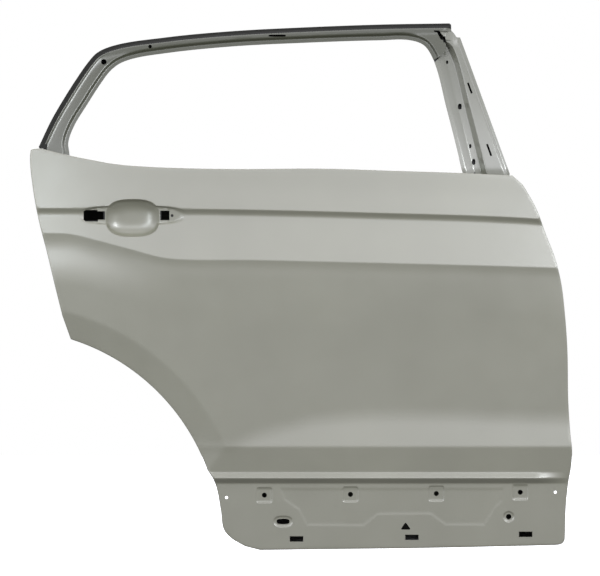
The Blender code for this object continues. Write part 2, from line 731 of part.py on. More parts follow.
def skirt_loops():
    """Each pressed shape of the skirt: its loop, the width of its ramp and how deep it goes."""
    pads = [(rectangle(p, (PAD_SIDE, PAD_SIDE)), PAD_RAMP, PAD_STEP) for p in PAD_PLACES]
    oval = superellipse(OVAL_HOLE, (OVAL_HALF[0] + OVAL_DIMPLE, OVAL_HALF[1] + OVAL_DIMPLE), 2.6, 14)
    dimple = circle(ROUND_HOLE, ROUND_DIMPLE_RADIUS, 12)
    field = [(np.array(EMBOSS_FIELD), EMBOSS_RAMP, EMBOSS_STEP)]
    return pads + [(oval, PAD_RAMP, PAD_STEP), (dimple, PAD_RAMP, PAD_STEP)] + field


def seat_plane(x):
    """Depth of the flat handle seat, which leans with the door's bow from end to end."""
    low, high = SEAT_CENTRE[0] - SEAT_HALF[0], SEAT_CENTRE[0] + SEAT_HALF[0]
    return SEAT_DEPTH + bow(low) + (bow(high) - bow(low)) * (x - low) / (high - low)


def skin_depth(x, z):
    """Depth of the skin's outboard side."""
    plan = np.column_stack([x, z])
    depth = plain_skin_depth(x, z)
    reach = superellipse_reach(x, z, SEAT_CENTRE, SEAT_HALF, SEAT_POWER)
    seat = ramp((1 - reach) * SEAT_HALF[1] / SEAT_RAMP)
    depth = depth + (seat_plane(x) - depth) * seat
    bowl = superellipse_reach(x, z, BOWL_CENTRE, BOWL_HALF, BOWL_POWER)
    share = 1 - ramp(bowl) ** 4
    depth = depth + (seat_plane(x) + BOWL_DEPTH - depth) * share
    for loop, width, step in skirt_loops():
        depth = depth + step * ramp(depth_inside(plan, loop) / width)
    return depth


def across(height, low, high, step=GUIDE_STEP):
    x = np.linspace(low, high, max(2, round((high - low) / step)))
    return np.column_stack([x, height(x)])


def crease_lines(low=DOOR_SPAN[0], high=DOOR_SPAN[1], step=GUIDE_STEP):
    """The lines along which the skin is creased."""
    offsets = [(shoulder_height, SHOULDER_BEND), (shoulder_height, 0.0), (shoulder_height, -UNDERCUT_HEIGHT),
               (waist_height, 0.0), (waist_height, -WAIST_LIP)]
    lines = [across(lambda x, f=f, d=d: f(x) + d, low, high, step) for f, d in offsets]
    for drop in (HAUNCH_TOP, HAUNCH_FOOT):
        lines.append(across(lambda x, d=drop: waist_height(x) - d, low, high, step))
    lines.append(across(flare_height, FLARE_TOP[0][0] + 0.02, high, step))
    lines.append(across(lambda x: np.full_like(x, PANEL_MIDDLE), low, high, step))
    for level in (SILL_CREASE, RIDGE_TOP, RIDGE_CREST, RIDGE_FOOT):
        lines.append(across(lambda x, z=level: np.full_like(x, z), 0.40, high, step))
    faded = RIDGE_END + RIDGE_FADE
    for x in (RIDGE_END, faded):
        lines.append(np.array([(x, RIDGE_FOOT), (x, RIDGE_TOP)]))
    for level in (RIDGE_FOOT, RIDGE_TOP):
        lines.append(np.array([(RIDGE_END, RIDGE_CREST), (faded, level)]))
    rim_corner = np.linspace(RIDGE_TOP, SILL_CREASE, 5)
    bend = RIM_RADIUS - SILL_CREASE
    lines.append(np.column_stack([np.sqrt(bend ** 2 + 2 * bend * rim_corner), rim_corner]))
    angles = np.radians(np.linspace(ARCH_START_DEG + 4, ARCH_END_DEG + 8, max(14, round(0.46 / step))))
    lines.append(RIM_RADIUS * np.column_stack([np.cos(angles), np.sin(angles)]))
    return lines


def outer_skin():
    outline = inset(skin_outline(), HEM_FOLD)
    seat_scales = (1.0, 1 - SEAT_RAMP / SEAT_HALF[1])
    seat_loops = [superellipse(SEAT_CENTRE, SEAT_HALF, SEAT_POWER, SEAT_POINTS, s) for s in seat_scales]
    bowl_scales = (1.0, *BOWL_RINGS)
    bowl_loops = [superellipse(BOWL_CENTRE, BOWL_HALF, BOWL_POWER, BOWL_POINTS, s) for s in bowl_scales]
    holes = [np.array(LATCH_WINDOW), np.array(PIVOT_WINDOW), circle(HANDLE_PIN_HOLE, HANDLE_PIN_RADIUS, 6)]
    holes += [circle(p, PAD_HOLE_RADIUS, 8) for p in PAD_PLACES]
    holes += [circle(p, CLIP_HOLE_RADIUS, 6) for p in CLIP_HOLES]
    holes += [rectangle(p, DRAIN_SLOT_SIZE) for p in DRAIN_SLOTS]
    holes += [superellipse(OVAL_HOLE, OVAL_HALF, 3, 10), circle(ROUND_HOLE, ROUND_HOLE_RADIUS, 8)]
    holes.append(np.array(TRIANGLE_HOLE))
    ramps = [loop for loop, width, step in skirt_loops()]
    ramps += [inset(loop, width) for loop, width, step in skirt_loops()]
    lines = []
    for line in crease_lines():
        clear = superellipse_reach(*line.T, BOWL_CENTRE, BOWL_HALF, BOWL_POWER) > RECESS_MARGIN
        clear &= superellipse_reach(*line.T, SEAT_CENTRE, SEAT_HALF, SEAT_POWER) > RECESS_MARGIN
        lines += runs_where(line, clear)
    plan, faces = blank(outline, holes, seat_loops + bowl_loops + ramps, lines)
    points = np.column_stack([plan[:, 0], skin_depth(plan[:, 0], plan[:, 1]), plan[:, 1]])
    points, faces = hemmed(points, faces, outer_boundary(plan, faces))
    return thicken(mesh_object("outer_skin", points, faces, primer), SKIN_SHEET)


def runs_where(line, kept):
    """The stretches of a line whose points are kept, two points or longer."""
    runs, run = [], []
    for point, keep in zip(line, kept):
        if keep:
            run.append(point)
            continue
        if len(run) > 1:
            runs.append(np.array(run))
        run = []
    return runs + ([np.array(run)] if len(run) > 1 else [])


def hemmed(points, faces, boundary):
    """The sheet with its edge folded right round, open at the sharp corners where the fold is notched."""
    base = points[boundary]
    plan = base[:, [0, 2]]
    apex = inset(plan, -HEM_FOLD)
    inner = inset(plan, HEM_RETURN)
    level = np.abs(inner - plan)[:, 0] > HEM_RETURN * 0.7
    follow = shoulder_height(inner[:, 0]) - shoulder_height(plan[:, 0])
    inner[level, 1] = (plan[:, 1] + follow * ramp((plan[:, 1] - 0.5) / 0.1))[level]
    rows = [
        np.column_stack([apex[:, 0], base[:, 1] + HEM_STACK / 2, apex[:, 1]]),
        np.column_stack([plan[:, 0], base[:, 1] + HEM_STACK, plan[:, 1]]),
        np.column_stack([inner[:, 0], plain_skin_depth(inner[:, 0], inner[:, 1]) + HEM_STACK, inner[:, 1]]),
    ]
    count = len(boundary)
    last = [int(v) for v in boundary]
    polygons = [tuple(map(int, f)) for f in faces]
    sides = np.roll(plan, -1, axis=0) - plan
    inner_sides = np.roll(inner, -1, axis=0) - inner
    share = (sides * inner_sides).sum(axis=1) / (sides ** 2).sum(axis=1)
    notched = np.zeros(count, bool)
    for low, high in HEM_NOTCHES:
        notched |= ((plan > low) & (plan < high)).all(axis=1)
    all_points = [points]
    at = len(points)
    for number, row in enumerate(rows):
        new = list(range(at, at + count))
        for k in range(count):
            after = (k + 1) % count
            if number == 2 and (share[k] < 0.5 or notched[k] and notched[after]):
                continue
            polygons.append((last[after], last[k], new[k], new[after]))
        all_points.append(row)
        last = new
        at += count
    every = np.vstack(all_points)
    used = sorted({v for f in polygons for v in f})
    places = {v: k for k, v in enumerate(used)}
    return every[used], [tuple(places[v] for v in f) for f in polygons]


# The inner panel

def wall_loop():
    """The foot of the inner panel's wall, closed above the belt."""
    angles = np.radians(np.linspace(ARCH_END_DEG - 1.5, ARCH_START_DEG - 1.0, 12))
    arch = (ARCH_RADIUS + ARCH_WALL_INSET) * np.column_stack([np.cos(angles), np.sin(angles)])
    path = WALL_LINE + [tuple(p) for p in arch] + WALL_LINE_FOOT + WALL_LINE_FRONT
    return straight_through(path, OUTLINE_STEP)


def trim_face_depth(x, z):
    depth = BELT_FACE_DEPTH + (TRIM_FACE_DEPTH - BELT_FACE_DEPTH) * ramp(
        (FACE_STEP_TOP - z) / (FACE_STEP_TOP - FACE_STEP_FOOT)
    )
    depth = depth + (FOOT_FACE_DEPTH - TRIM_FACE_DEPTH) * ramp((FACE_TAPER_TOP - z) / FACE_TAPER_TOP)
    from_speaker = np.hypot(x - SPEAKER_CENTRE[0], z - SPEAKER_CENTRE[1])
    return depth - SPEAKER_SEAT_STEP * ramp((SPEAKER_SEAT_RADIUS - from_speaker) / SPEAKER_SEAT_RAMP)


def inner_panel():
    wall = wall_loop()
    top = inset(wall, WALL_DRAFT)
    outline = inset(skin_outline(), PANEL_EDGE_INSET)
    outline[:, 1] = np.minimum(outline[:, 1], belt_height(outline[:, 0]) - BELT_DROP)
    holes = [
        refined(rounded_rectangle(*SERVICE_OPENING, SERVICE_RADIUS, 5), 0.06),
        refined(rounded_rectangle(*LATCH_OPENING, LATCH_OPENING_RADIUS, 4), 0.06),
        circle(SPEAKER_CENTRE, SPEAKER_RADIUS, SPEAKER_POINTS),
    ]
    holes += [circle(p, TRIM_HOLE_RADIUS, 6) for p in TRIM_HOLES]
    holes += [circle(p, REGULATOR_HOLE_RADIUS, 6) for p in REGULATOR_HOLES]
    holes += [circle(p, CLIP_HOLE_RADIUS, 6) for p in CLIP_HOLES]
    holes += [rectangle(p, DRAIN_MATCH_SIZE) for p in DRAIN_MATCHES]
    seat_radii = (SPEAKER_SEAT_RADIUS, SPEAKER_SEAT_RADIUS - SPEAKER_SEAT_RAMP)
    loops = [circle(SPEAKER_CENTRE, r, SPEAKER_POINTS) for r in seat_radii]
    lines = [wall, top]
    for line in crease_lines(step=FINE_STEP):
        lines += [thinned(run) for run in runs_where(line, depth_inside(line, wall) < WALL_DRAFT / 2)]
    for level in (FACE_STEP_TOP, FACE_STEP_FOOT, FACE_TAPER_TOP):
        line = across(lambda x, z=level: np.full_like(x, z), *DOOR_SPAN, FINE_STEP)
        lines += [thinned(run) for run in runs_where(line, depth_inside(line, top) > FINE_STEP / 2)]
    plan, faces = blank(outline, holes, loops, lines, 0.085)
    within = ramp(depth_inside(plan, wall) / WALL_DRAFT)
    x, z = plan.T
    flange = plain_skin_depth(x, z) + SKIN_SHEET + HEM_GAP
    depth = flange + (trim_face_depth(x, z) - flange) * within
    near_hinge = x > HINGE_WALL - WALL_DRAFT - MERGE * 10
    near_latch = x < LATCH_WALL + WALL_DRAFT + MERGE * 10
    on_hinge_wall = (within > 0) & near_hinge & between(z, HINGE_WALL_SPAN, WALL_DRAFT / 2)
    on_latch_wall = (within > 0) & near_latch & between(z, LATCH_WALL_SPAN, WALL_DRAFT / 2)
    x = np.where(on_hinge_wall, HINGE_WALL, np.where(on_latch_wall, LATCH_WALL, x))
    panel = thicken(mesh_object("inner_panel", np.column_stack([x, depth, z]), faces, primer), INNER_SHEET)
    for cutter in wall_cutters():
        cut(panel, cutter)
    return panel


def thinned(line, every=GUIDE_EVERY):
    """A line with fewer points, its two ends kept."""
    kept = list(range(0, len(line) - 1, every)) + [len(line) - 1]
    return line[kept]


def wall_cutters():
    """Cutters for the hinge wall and the latch wall, which the reinforcements behind them share."""
    for name, height in (("upper", HINGE_UPPER), ("lower", HINGE_LOWER)):
        for k, side in enumerate((-1, 1)):
            centre = (HINGE_WALL, HINGE_DEPTH, height + side * HINGE_BOLT_SPACING / 2)
            bolt = drill(f"hinge_bolt_{name}_{k}", centre, HINGE_BOLT_RADIUS, 3 * CUTTER_LENGTH, "x")
            hinge_cutters[name].append(bolt)
    centre = (HINGE_WALL, HINGE_DEPTH, CHECK_HEIGHT)
    check_cutters.append(slot_cutter("check_slot", centre, (2 * CUTTER_LENGTH, *CHECK_SLOT)))
    centre = (HINGE_WALL, HINGE_DEPTH, GROMMET_HEIGHT)
    grommet = drill("grommet_hole", centre, GROMMET_RADIUS, CUTTER_LENGTH, "x", 16)
    centre = (LATCH_WALL, LATCH_DEPTH, LATCH_HEIGHT)
    latch_cutters.append(slot_cutter("latch_slot", centre, (CUTTER_LENGTH, *LATCH_SLOT)))
    for k, (side, up) in enumerate(LATCH_BOLTS):
        centre = (LATCH_WALL, LATCH_DEPTH + side, LATCH_HEIGHT + up)
        latch_cutters.append(drill(f"latch_bolt_{k}", centre, LATCH_BOLT_RADIUS, CUTTER_LENGTH, "x", 8))
    return [*hinge_cutters["upper"], *hinge_cutters["lower"], *check_cutters, grommet, *latch_cutters]


# The window frame

def frame_lean(z):
    above = np.maximum(z - FRAME_LEAN_START, 0)
    return FRAME_DEPTH + FRAME_LEAN * above + above ** 2 / (2 * FRAME_CURVE_RADIUS)


def outer_edge(step=FRAME_STEP):
    return curve_through(FRAME_OUTER_EDGE, step)


def front_edge(step=FRAME_STEP):
    return straight_through(FRAME_FRONT_EDGE, step)


def opening_edge(step=FRAME_STEP):
    return curve_through(OPENING_EDGE, step)


def frame_outer_path():
    return np.vstack([rear_foot_edge(), [ABOVE_NOTCH], outer_edge(), FRAME_CORNER, front_edge()])


def ring_outline():
    """The window frame seen square on, from the rear foot over the header to the front foot."""
    clockwise = np.vstack([frame_outer_path(), opening_edge()[::-1]])
    return clockwise[::-1]


def rear_foot_edge():
    low = (REAR_FOOT_EDGE, REAR_FOOT_END)
    notch = (REAR_FOOT_EDGE, FOOT_NOTCH - FOOT_NOTCH_RAMP[1])
    return straight_through([low, notch, (REAR_FOOT_EDGE - FOOT_NOTCH_RAMP[0], FOOT_NOTCH)], FRAME_STEP)


def foot_lines(offsets):
    """Straight lines up the rear foot, at distances in from its rear edge."""
    low, high = REAR_FOOT_END - LINE_OVERRUN, FOOT_NOTCH - FOOT_NOTCH_RAMP[0]
    return [np.array([(REAR_FOOT_EDGE + d, low), (REAR_FOOT_EDGE + d, high - d)]) for d in offsets]


def section_lines(line, offsets, side):
    """The line moved sideways by each offset and drawn on a little at both ends."""
    made = []
    for offset in offsets:
        moved = moved_sideways(line, side * offset)
        first = moved[0] + (moved[0] - moved[1]) / math.dist(moved[0], moved[1]) * LINE_OVERRUN
        last = moved[-1] + (moved[-1] - moved[-2]) / math.dist(moved[-1], moved[-2]) * LINE_OVERRUN
        made.append(np.vstack([first, moved, last]))
    return made


def lean_line(outline):
    """Lines across the feet: where the gussets end, and the fold where the frame starts to lean inboard."""
    made = []
    for level in (REAR_FOOT_END + GUSSET_LEG, FRAME_LEAN_START):
        line = across(lambda x, z=level: np.full_like(x, z), *DOOR_SPAN, FINE_STEP)
        made += [run[[0, -1]] for run in runs_where(line, depth_inside(line, outline) > FINE_STEP / 2)]
    return made


def from_edges(x, z):
    plan = np.column_stack([x, z])
    return distance_to(plan, frame_outer_path(), False), distance_to(plan, opening_edge(0.012), False)


def header_depth(x, z):
    outer, opening = from_edges(x, z)
    face = OUTER_BAND_STEP * (1 - ramp((outer - OUTER_BAND) / (OUTER_CREASE - OUTER_BAND)))
    face = face + FACE_FALL * ramp((outer - OUTER_CREASE) / FACE_FALL_WIDTH)
    step = ramp((OPENING_STEP_START - opening) / (OPENING_STEP_START - OPENING_FLANGE))
    return frame_lean(z) + face + (OPENING_FLANGE_STEP - face) * step


def pillar_depth(x, z):
    outer, opening = from_edges(x, z)
    flange = OPENING_FLANGE_STEP
    inner = np.interp(
        opening,
        [0, OPENING_FLANGE, CHANNEL_SLOPE_END, CHANNEL_FLOOR_END, CHANNEL_WALL_END],
        [flange, flange, CHANNEL_FLOOR_STEP, CHANNEL_FLOOR_STEP, 0.0],
    )
    edge = OUTER_BAND_STEP * (1 - ramp((outer - OUTER_BAND) / (OUTER_CREASE - OUTER_BAND)))
    ceiling = OUTER_BAND_STEP + CHANNEL_RISE * np.maximum(outer - OUTER_BAND, 0)
    return frame_lean(z) + np.maximum(np.minimum(inner, ceiling), edge)


def box_path():
    """The line that the inner pressing's outer flange follows, which cuts the frame's front corner short."""
    front = front_edge()
    front = front[front[:, 1] < FRAME_BOX_CORNER[1][1] - FRAME_STEP / 2]
    return np.vstack([rear_foot_edge(), [ABOVE_NOTCH], outer_edge()[:-1], FRAME_BOX_CORNER, front])


def ring_depth(x, z):
    """The inner pressing of the frame: a flange along each edge and a box between them."""
    opening = from_edges(x, z)[1]
    outer = distance_to(np.column_stack([x, z]), box_path(), False)
    outside = depth_inside(np.column_stack([x, z]), np.vstack([box_path(), opening_edge()[::-1]])) < 0
    outer = np.where(outside, 0, outer)
    flange = np.where(outer < opening, OUTER_BAND_STEP, OPENING_FLANGE_STEP) + FRAME_SHEET + FRAME_SEAT
    nearest = np.minimum(outer - OUTER_BAND, opening - OPENING_FLANGE)
    return frame_lean(z) + flange + (FRAME_BOX_DEPTH - flange) * ramp(nearest / FRAME_BOX_WALL)


def window_frame_inner():
    outline = inset(ring_outline(), FRAME_INNER_INSET)
    walls = (OUTER_BAND, OUTER_BAND + FRAME_BOX_WALL)
    lines = section_lines(box_path()[len(rear_foot_edge()) + 1:], walls, -1) + foot_lines(walls)
    lines += section_lines(opening_edge(), (OPENING_FLANGE, OPENING_FLANGE + FRAME_BOX_WALL), 1)
    lines += lean_line(outline)
    plan, faces = blank(outline, (), (), lines, 0.1)
    return pressed("window_frame_inner", plan, faces, ring_depth, FRAME_SHEET, frame_primer)


def header_outline():
    path = ring_outline()
    joint = np.array(FRAME_JOINT)
    return cut_away(path, np.vstack([joint, JOINT_TO_FRONT]))


def pillar_outline():
    path = ring_outline()
    joint = moved_sideways(np.array(FRAME_JOINT), FRAME_JOINT_GAP)
    return cut_away(path, np.vstack([joint, JOINT_TO_REAR]))


def cut_away(path, region):
    """The part of a loop outside a region, closed along the region's edge."""
    joint = region[: len(FRAME_JOINT)]
    outside = ~inside(path, region)
    start = next(k for k in range(len(path)) if outside[k] and not outside[k - 1])
    order = [(start + k) % len(path) for k in range(len(path))]
    kept = [path[k] for k in order if outside[k]]
    trimmed = joint[depth_inside(joint, path) > FRAME_INNER_INSET / 2]
    if math.dist(kept[-1], trimmed[0]) > math.dist(kept[-1], trimmed[-1]):
        trimmed = trimmed[::-1]
    return np.vstack([kept, trimmed])


def frame_header():
    outline = header_outline()
    creases = (OUTER_BAND, OUTER_CREASE, OUTER_CREASE + FACE_FALL_WIDTH)
    lines = section_lines(outer_edge(), creases, -1) + foot_lines(creases)
    lines += section_lines(opening_edge(), (OPENING_FLANGE, OPENING_STEP_START), 1)
    holes = [circle(HEADER_HOLE, HEADER_HOLE_RADIUS, 10), superellipse(HEADER_SLOT, HEADER_SLOT_HALF, 4, 8)]
    lines += lean_line(outline)
    plan, faces = blank(outline, holes, (), lines, 0.1)
    return pressed("frame_header", plan, faces, header_depth, FRAME_SHEET, frame_primer)


def slanted_slot(centre, half_length):
    along = np.array(PILLAR_DIRECTION)
    side = np.array([-along[1], along[0]]) * PILLAR_SLOT_WIDTH / 2
    ends = [(-1, -1), (1, -1), (1, 1), (-1, 1)]
    return np.array([np.array(centre) + a * along * half_length / 2 + b * side for a, b in ends])


def frame_front_pillar():
    outline = pillar_outline()
    stations_in = (OPENING_FLANGE, CHANNEL_SLOPE_END, CHANNEL_FLOOR_END, CHANNEL_WALL_END)
    lines = section_lines(opening_edge(), stations_in, 1)
    lines += section_lines(front_edge()[1:], (OUTER_BAND, OUTER_CREASE), -1)
    holes = [superellipse(centre, half, 2, 8) for centre, half in PILLAR_HOLES]
    holes += [slanted_slot(centre, length) for centre, length in PILLAR_SLOTS]
    lines += lean_line(outline)
    plan, faces = blank(outline, holes, (), lines, 0.1)
    return pressed("frame_front_pillar", plan, faces, pillar_depth, FRAME_SHEET, frame_primer)


# Rails along the glass slot

def belt_rail_outer():
    low, high = BELT_RAIL_ENDS
    drops = (PANEL_EDGE_INSET, BELT_RAIL_TOP_FLANGE, BELT_RAIL_TOP_FLANGE + BELT_RAIL_RAMP,
             BELT_RAIL_HEIGHT - BELT_RAIL_RAMP, BELT_RAIL_HEIGHT)
    rows = [across(lambda x, d=d: belt_height(x) - d, low, high, GUIDE_STEP) for d in drops]
    outline = np.vstack([rows[-1], rows[0][::-1]])

    def depth(x, z):
        drop = belt_height(x) - z
        hat = ramp((drop - drops[1]) / BELT_RAIL_RAMP) * ramp((drops[4] + 0.001 - drop) / BELT_RAIL_RAMP)
        ends = BELT_RAIL_HAT_ENDS
        along = ramp((x - ends[0]) / BELT_RAIL_FADE) * ramp((ends[1] - x) / BELT_RAIL_FADE)
        return plain_skin_depth(x, z) + SKIN_SHEET + HEM_GAP + BELT_RAIL_HAT * hat * along

    bend = across(lambda x: shoulder_height(x) + SHOULDER_BEND, low, high, FINE_STEP)
    bends = [thinned(run) for run in runs_where(bend, depth_inside(bend, outline) > FINE_STEP / 2)]
    plan, faces = blank(outline, (), (), rows[1:-1] + bends, 0.2)
    return pressed("belt_reinforcement_outer", plan, faces, depth, INNER_SHEET, primer)


def belt_rail_inner():
    """A hat rail on the cavity side of the inner panel."""
    low, high = INNER_RAIL_ENDS
    top, foot = BELT_DROP + INNER_RAIL_EDGE, INNER_RAIL_HEIGHT
    flange, crest = INNER_RAIL_FLANGE, INNER_RAIL_FLANGE + INNER_RAIL_RAMP
    drops = (top, top + flange, top + crest, foot - crest, foot - flange, foot)
    rows = [across(lambda x, d=d: belt_height(x) - d, low, high, RAIL_STEP) for d in drops]
    outline = np.vstack([rows[-1], rows[0][::-1]])
    seat = SEAT_GAP + BRACKET_SHEET

    def depth(x, z):
        drop = belt_height(x) - z
        hat = np.interp(drop, drops, (0, 0, 1, 1, 0, 0))
        return trim_face_depth(x, z) - seat - INNER_RAIL_HAT * hat

    plan, faces = blank(outline, (), (), rows[1:-1], 0.2)
    return pressed("belt_reinforcement_inner", plan, faces, depth, BRACKET_SHEET, primer)


# Beam, brackets and plates

def side_impact_beam():
    mesh = bpy.data.meshes.new("side_impact_beam")
    work = bmesh.new()
    start = Vector((BEAM_FRONT[0], BEAM_DEPTH, BEAM_FRONT[1]))
    end = Vector((BEAM_REAR[0], BEAM_DEPTH, BEAM_REAR[1]))
    length = (end - start).length
    bmesh.ops.create_cone(
        work, cap_ends=False, segments=BEAM_SIDES, radius1=BEAM_RADIUS, radius2=BEAM_RADIUS, depth=length
    )
    work.to_mesh(mesh)
    work.free()
    obj = place(bpy.data.objects.new("side_impact_beam", mesh), primer)
    obj.location = (start + end) / 2
    obj.rotation_euler = (end - start).to_track_quat("Z", "Y").to_euler()
    return thicken(obj, BEAM_WALL)


def beam_height(x):
    share = (x - BEAM_REAR[0]) / (BEAM_FRONT[0] - BEAM_REAR[0])
    return BEAM_REAR[1] + (BEAM_FRONT[1] - BEAM_REAR[1]) * share


def beam_brackets():
    """Folded plates behind the beam's ends, turned along the walls and welded to them."""
    behind = BEAM_DEPTH + BEAM_RADIUS + SEAT_GAP
    front_wall = HINGE_WALL - SEAT_GAP
    rear_wall = LATCH_WALL + SEAT_GAP
    height = beam_height(BEAM_FRONT[0] - SADDLE_LENGTH / 2)
    path = [(BEAM_FRONT[0] - SADDLE_LENGTH, behind), (front_wall, behind), (front_wall, behind + 0.050)]
    span = (height - SADDLE_HALF_HEIGHT, height + SADDLE_HALF_HEIGHT)
    folded("beam_bracket_front", path, span, "z", BRACKET_SHEET, primer)
    height = beam_height(BEAM_REAR[0] + SADDLE_LENGTH / 2)
    path = [(rear_wall, behind + 0.050), (rear_wall, behind), (BEAM_REAR[0] + SADDLE_LENGTH, behind)]
    span = (height - SADDLE_HALF_HEIGHT, height + SADDLE_HALF_HEIGHT)
    folded("beam_bracket_rear", path, span, "z", BRACKET_SHEET, primer)


def hinge_reinforcements():
    front = HINGE_WALL - SEAT_GAP
    back = TRIM_FACE_DEPTH - SEAT_GAP
    path = [(front, HINGE_REINFORCEMENT_EDGE), (front, back), (front - HINGE_REINFORCEMENT_LEG, back)]
    for name, height in (("upper", HINGE_UPPER), ("lower", HINGE_LOWER)):
        half = HINGE_REINFORCEMENT_HEIGHT / 2
        span = (height - half, height + half)
        plate = folded(f"hinge_reinforcement_{name}", path, span, "z", HINGE_SHEET, primer)
        face = front - HINGE_SHEET - SEAT_GAP
        deep, tall = HINGE_PLATE
        low = (face - HINGE_PLATE_THICKNESS, HINGE_DEPTH - deep / 2, height - tall / 2)
        high = (face, HINGE_DEPTH + deep / 2, height + tall / 2)
        nuts = box(f"hinge_tapping_plate_{name}", low, high, bare_steel, 0.001)
        for cutter in hinge_cutters[name]:
            cut(plate, cutter)
            cut(nuts, cutter)


def check_strap_reinforcement():
    face = HINGE_WALL - SEAT_GAP
    low, high = CHECK_PLATE_EDGES
    half = CHECK_PLATE_HEIGHT / 2
    corner = (face - HINGE_SHEET, low, CHECK_HEIGHT - half)
    plate = box("check_strap_reinforcement", corner, (face, high, CHECK_HEIGHT + half), primer, 0.0005)
    cut(plate, check_cutters[0])


def latch_reinforcement():
    wall = LATCH_WALL + SEAT_GAP
    back = TRIM_FACE_DEPTH - SEAT_GAP
    half = LATCH_REINFORCEMENT_HEIGHT / 2
    path = [(wall + LATCH_REINFORCEMENT_LEG, back), (wall, back), (wall, LATCH_REINFORCEMENT_EDGE)]
    span = (LATCH_HEIGHT - half, LATCH_HEIGHT + half)
    plate = folded("latch_reinforcement", path, span, "z", BRACKET_SHEET, primer)
    for cutter in latch_cutters:
        cut(plate, cutter)


def handle_reinforcement():
    """A hat behind the handle seat that steps round the bowl, with windows for the handle's two ends."""
    def seat_back(x):
        return seat_plane(x) + SKIN_SHEET + SEAT_GAP

    low = SEAT_CENTRE[0] - SEAT_HALF[0] - HANDLE_PLATE_OVERLAP[0]
    high = SEAT_CENTRE[0] + SEAT_HALF[0] + HANDLE_PLATE_OVERLAP[1]
    left = BOWL_CENTRE[0] - BOWL_HALF[0] - HANDLE_PLATE_CLEARANCE
    right = BOWL_CENTRE[0] + BOWL_HALF[0] + HANDLE_PLATE_CLEARANCE
    deep = seat_back(left) + BOWL_DEPTH + SEAT_GAP
    path = [(low, seat_back(low)), (left, seat_back(left)), (left + HANDLE_PLATE_RAMP, deep)]
    path += [(right - HANDLE_PLATE_RAMP, deep), (right, seat_back(right)), (high, seat_back(high))]
    span = (SEAT_CENTRE[1] - HANDLE_PLATE_REACH[0], SEAT_CENTRE[1] + HANDLE_PLATE_REACH[1])
    plate = folded("handle_reinforcement", path, span, "z", BRACKET_SHEET, primer)
    for k, window in enumerate((LATCH_WINDOW, PIVOT_WINDOW)):
        first, last = np.min(window, axis=0), np.max(window, axis=0)
        middle, size = (first + last) / 2, last - first
        centre = (middle[0], SEAT_DEPTH + CUTTER_LENGTH / 2, middle[1])
        cut(plate, slot_cutter(f"handle_window_{k}", centre, (size[0], 1.5 * CUTTER_LENGTH, size[1])))


def glass_guide(name, top, end, opens):
    """A U channel for the glass edge; opens is -1 for a mouth that faces rearwards and 1 for forwards."""
    start_x, start_z = top
    run = start_z - SEAT_GAP - end
    inboard, outboard = GUIDE_DEPTHS[1], GUIDE_DEPTHS[0]
    section = [(opens * GUIDE_WIDTH, outboard), (0, outboard), (0, inboard), (opens * GUIDE_WIDTH, inboard)]
    points, faces = [], []
    for drop in (0, run):
        points += [(start_x + u + GUIDE_SLOPE * drop, y, start_z - SEAT_GAP - drop) for u, y in section]
    for k in range(3):
        face = (k, k + 1, 5 + k, 4 + k)
        faces.append(face if opens > 0 else face[::-1])
    return thicken(mesh_object(name, points, faces, primer), GUIDE_SHEET)


def guide_brackets():
    """A Z bracket from the foot of each guide to the inner panel."""
    near = GUIDE_DEPTHS[1] + GUIDE_SHEET + SEAT_GAP
    back = TRIM_FACE_DEPTH - SEAT_GAP - BRACKET_SHEET
    guides = (("front", FRONT_GUIDE_TOP, FRONT_GUIDE_END), ("rear", REAR_GUIDE_TOP, REAR_GUIDE_END))
    for name, top, end in guides:
        x = top[0] + GUIDE_SLOPE * (top[1] - end - GUIDE_BRACKET_HEIGHT / 2)
        start, web, toe = (x + d for d in GUIDE_BRACKET_STATIONS)
        path = [(start, near), (web, near), (web, back), (toe, back)]
        span = (end + GUIDE_BRACKET_CLEARANCE, end + GUIDE_BRACKET_HEIGHT)
        folded(f"glass_guide_bracket_{name}", path, span, "z", BRACKET_SHEET, primer)


def belt_gussets():
    """Stepped plates from the feet of the window frame to the inner panel."""
    near = FRAME_DEPTH + FRAME_BOX_DEPTH + FRAME_SHEET + SEAT_GAP
    back = BELT_FACE_DEPTH - SEAT_GAP - BRACKET_SHEET
    clear = OPENING_FLANGE + FRAME_BOX_WALL + GUSSET_CLEARANCE
    rear_span = (REAR_FOOT_EDGE + clear, OPENING_EDGE[0][0] - clear)
    front_span = (OPENING_EDGE[-1][0] + clear, FRAME_FRONT_EDGE[-1][0] - clear)
    feet = (("rear", rear_span, REAR_FOOT_END), ("front", front_span, FRONT_FOOT_END + FRONT_GUSSET_LIFT))
    for name, span, foot in feet:
        path = [(near, foot + GUSSET_LEG), (near, foot), (back, foot - GUSSET_STEP_HEIGHT)]
        path.append((back, max(foot - GUSSET_STEP_HEIGHT - GUSSET_LEG, FACE_STEP_TOP + GUSSET_END_CLEARANCE)))
        folded(f"belt_gusset_{name}", path, span, "x", BRACKET_SHEET, primer)


def mastic_pads():
    for number, x in enumerate(PAD_BEAM_PLACES, 1):
        z = beam_height(x)
        skin = float(plain_skin_depth(np.array([x]), np.array([z]))[0]) + SKIN_SHEET
        low, high = skin + 2 * SEAT_GAP, BEAM_DEPTH - BEAM_RADIUS - SEAT_GAP
        pad = drill(f"mastic_pad_{number}", (x, (low + high) / 2, z), PAD_BLOB_RADIUS, high - low, "y", 10)
        cutters.objects.unlink(pad)
        parts.objects.link(pad)
        pad.hide_render = False
        pad.display_type = "TEXTURED"
        pad.data.materials[0] = mastic


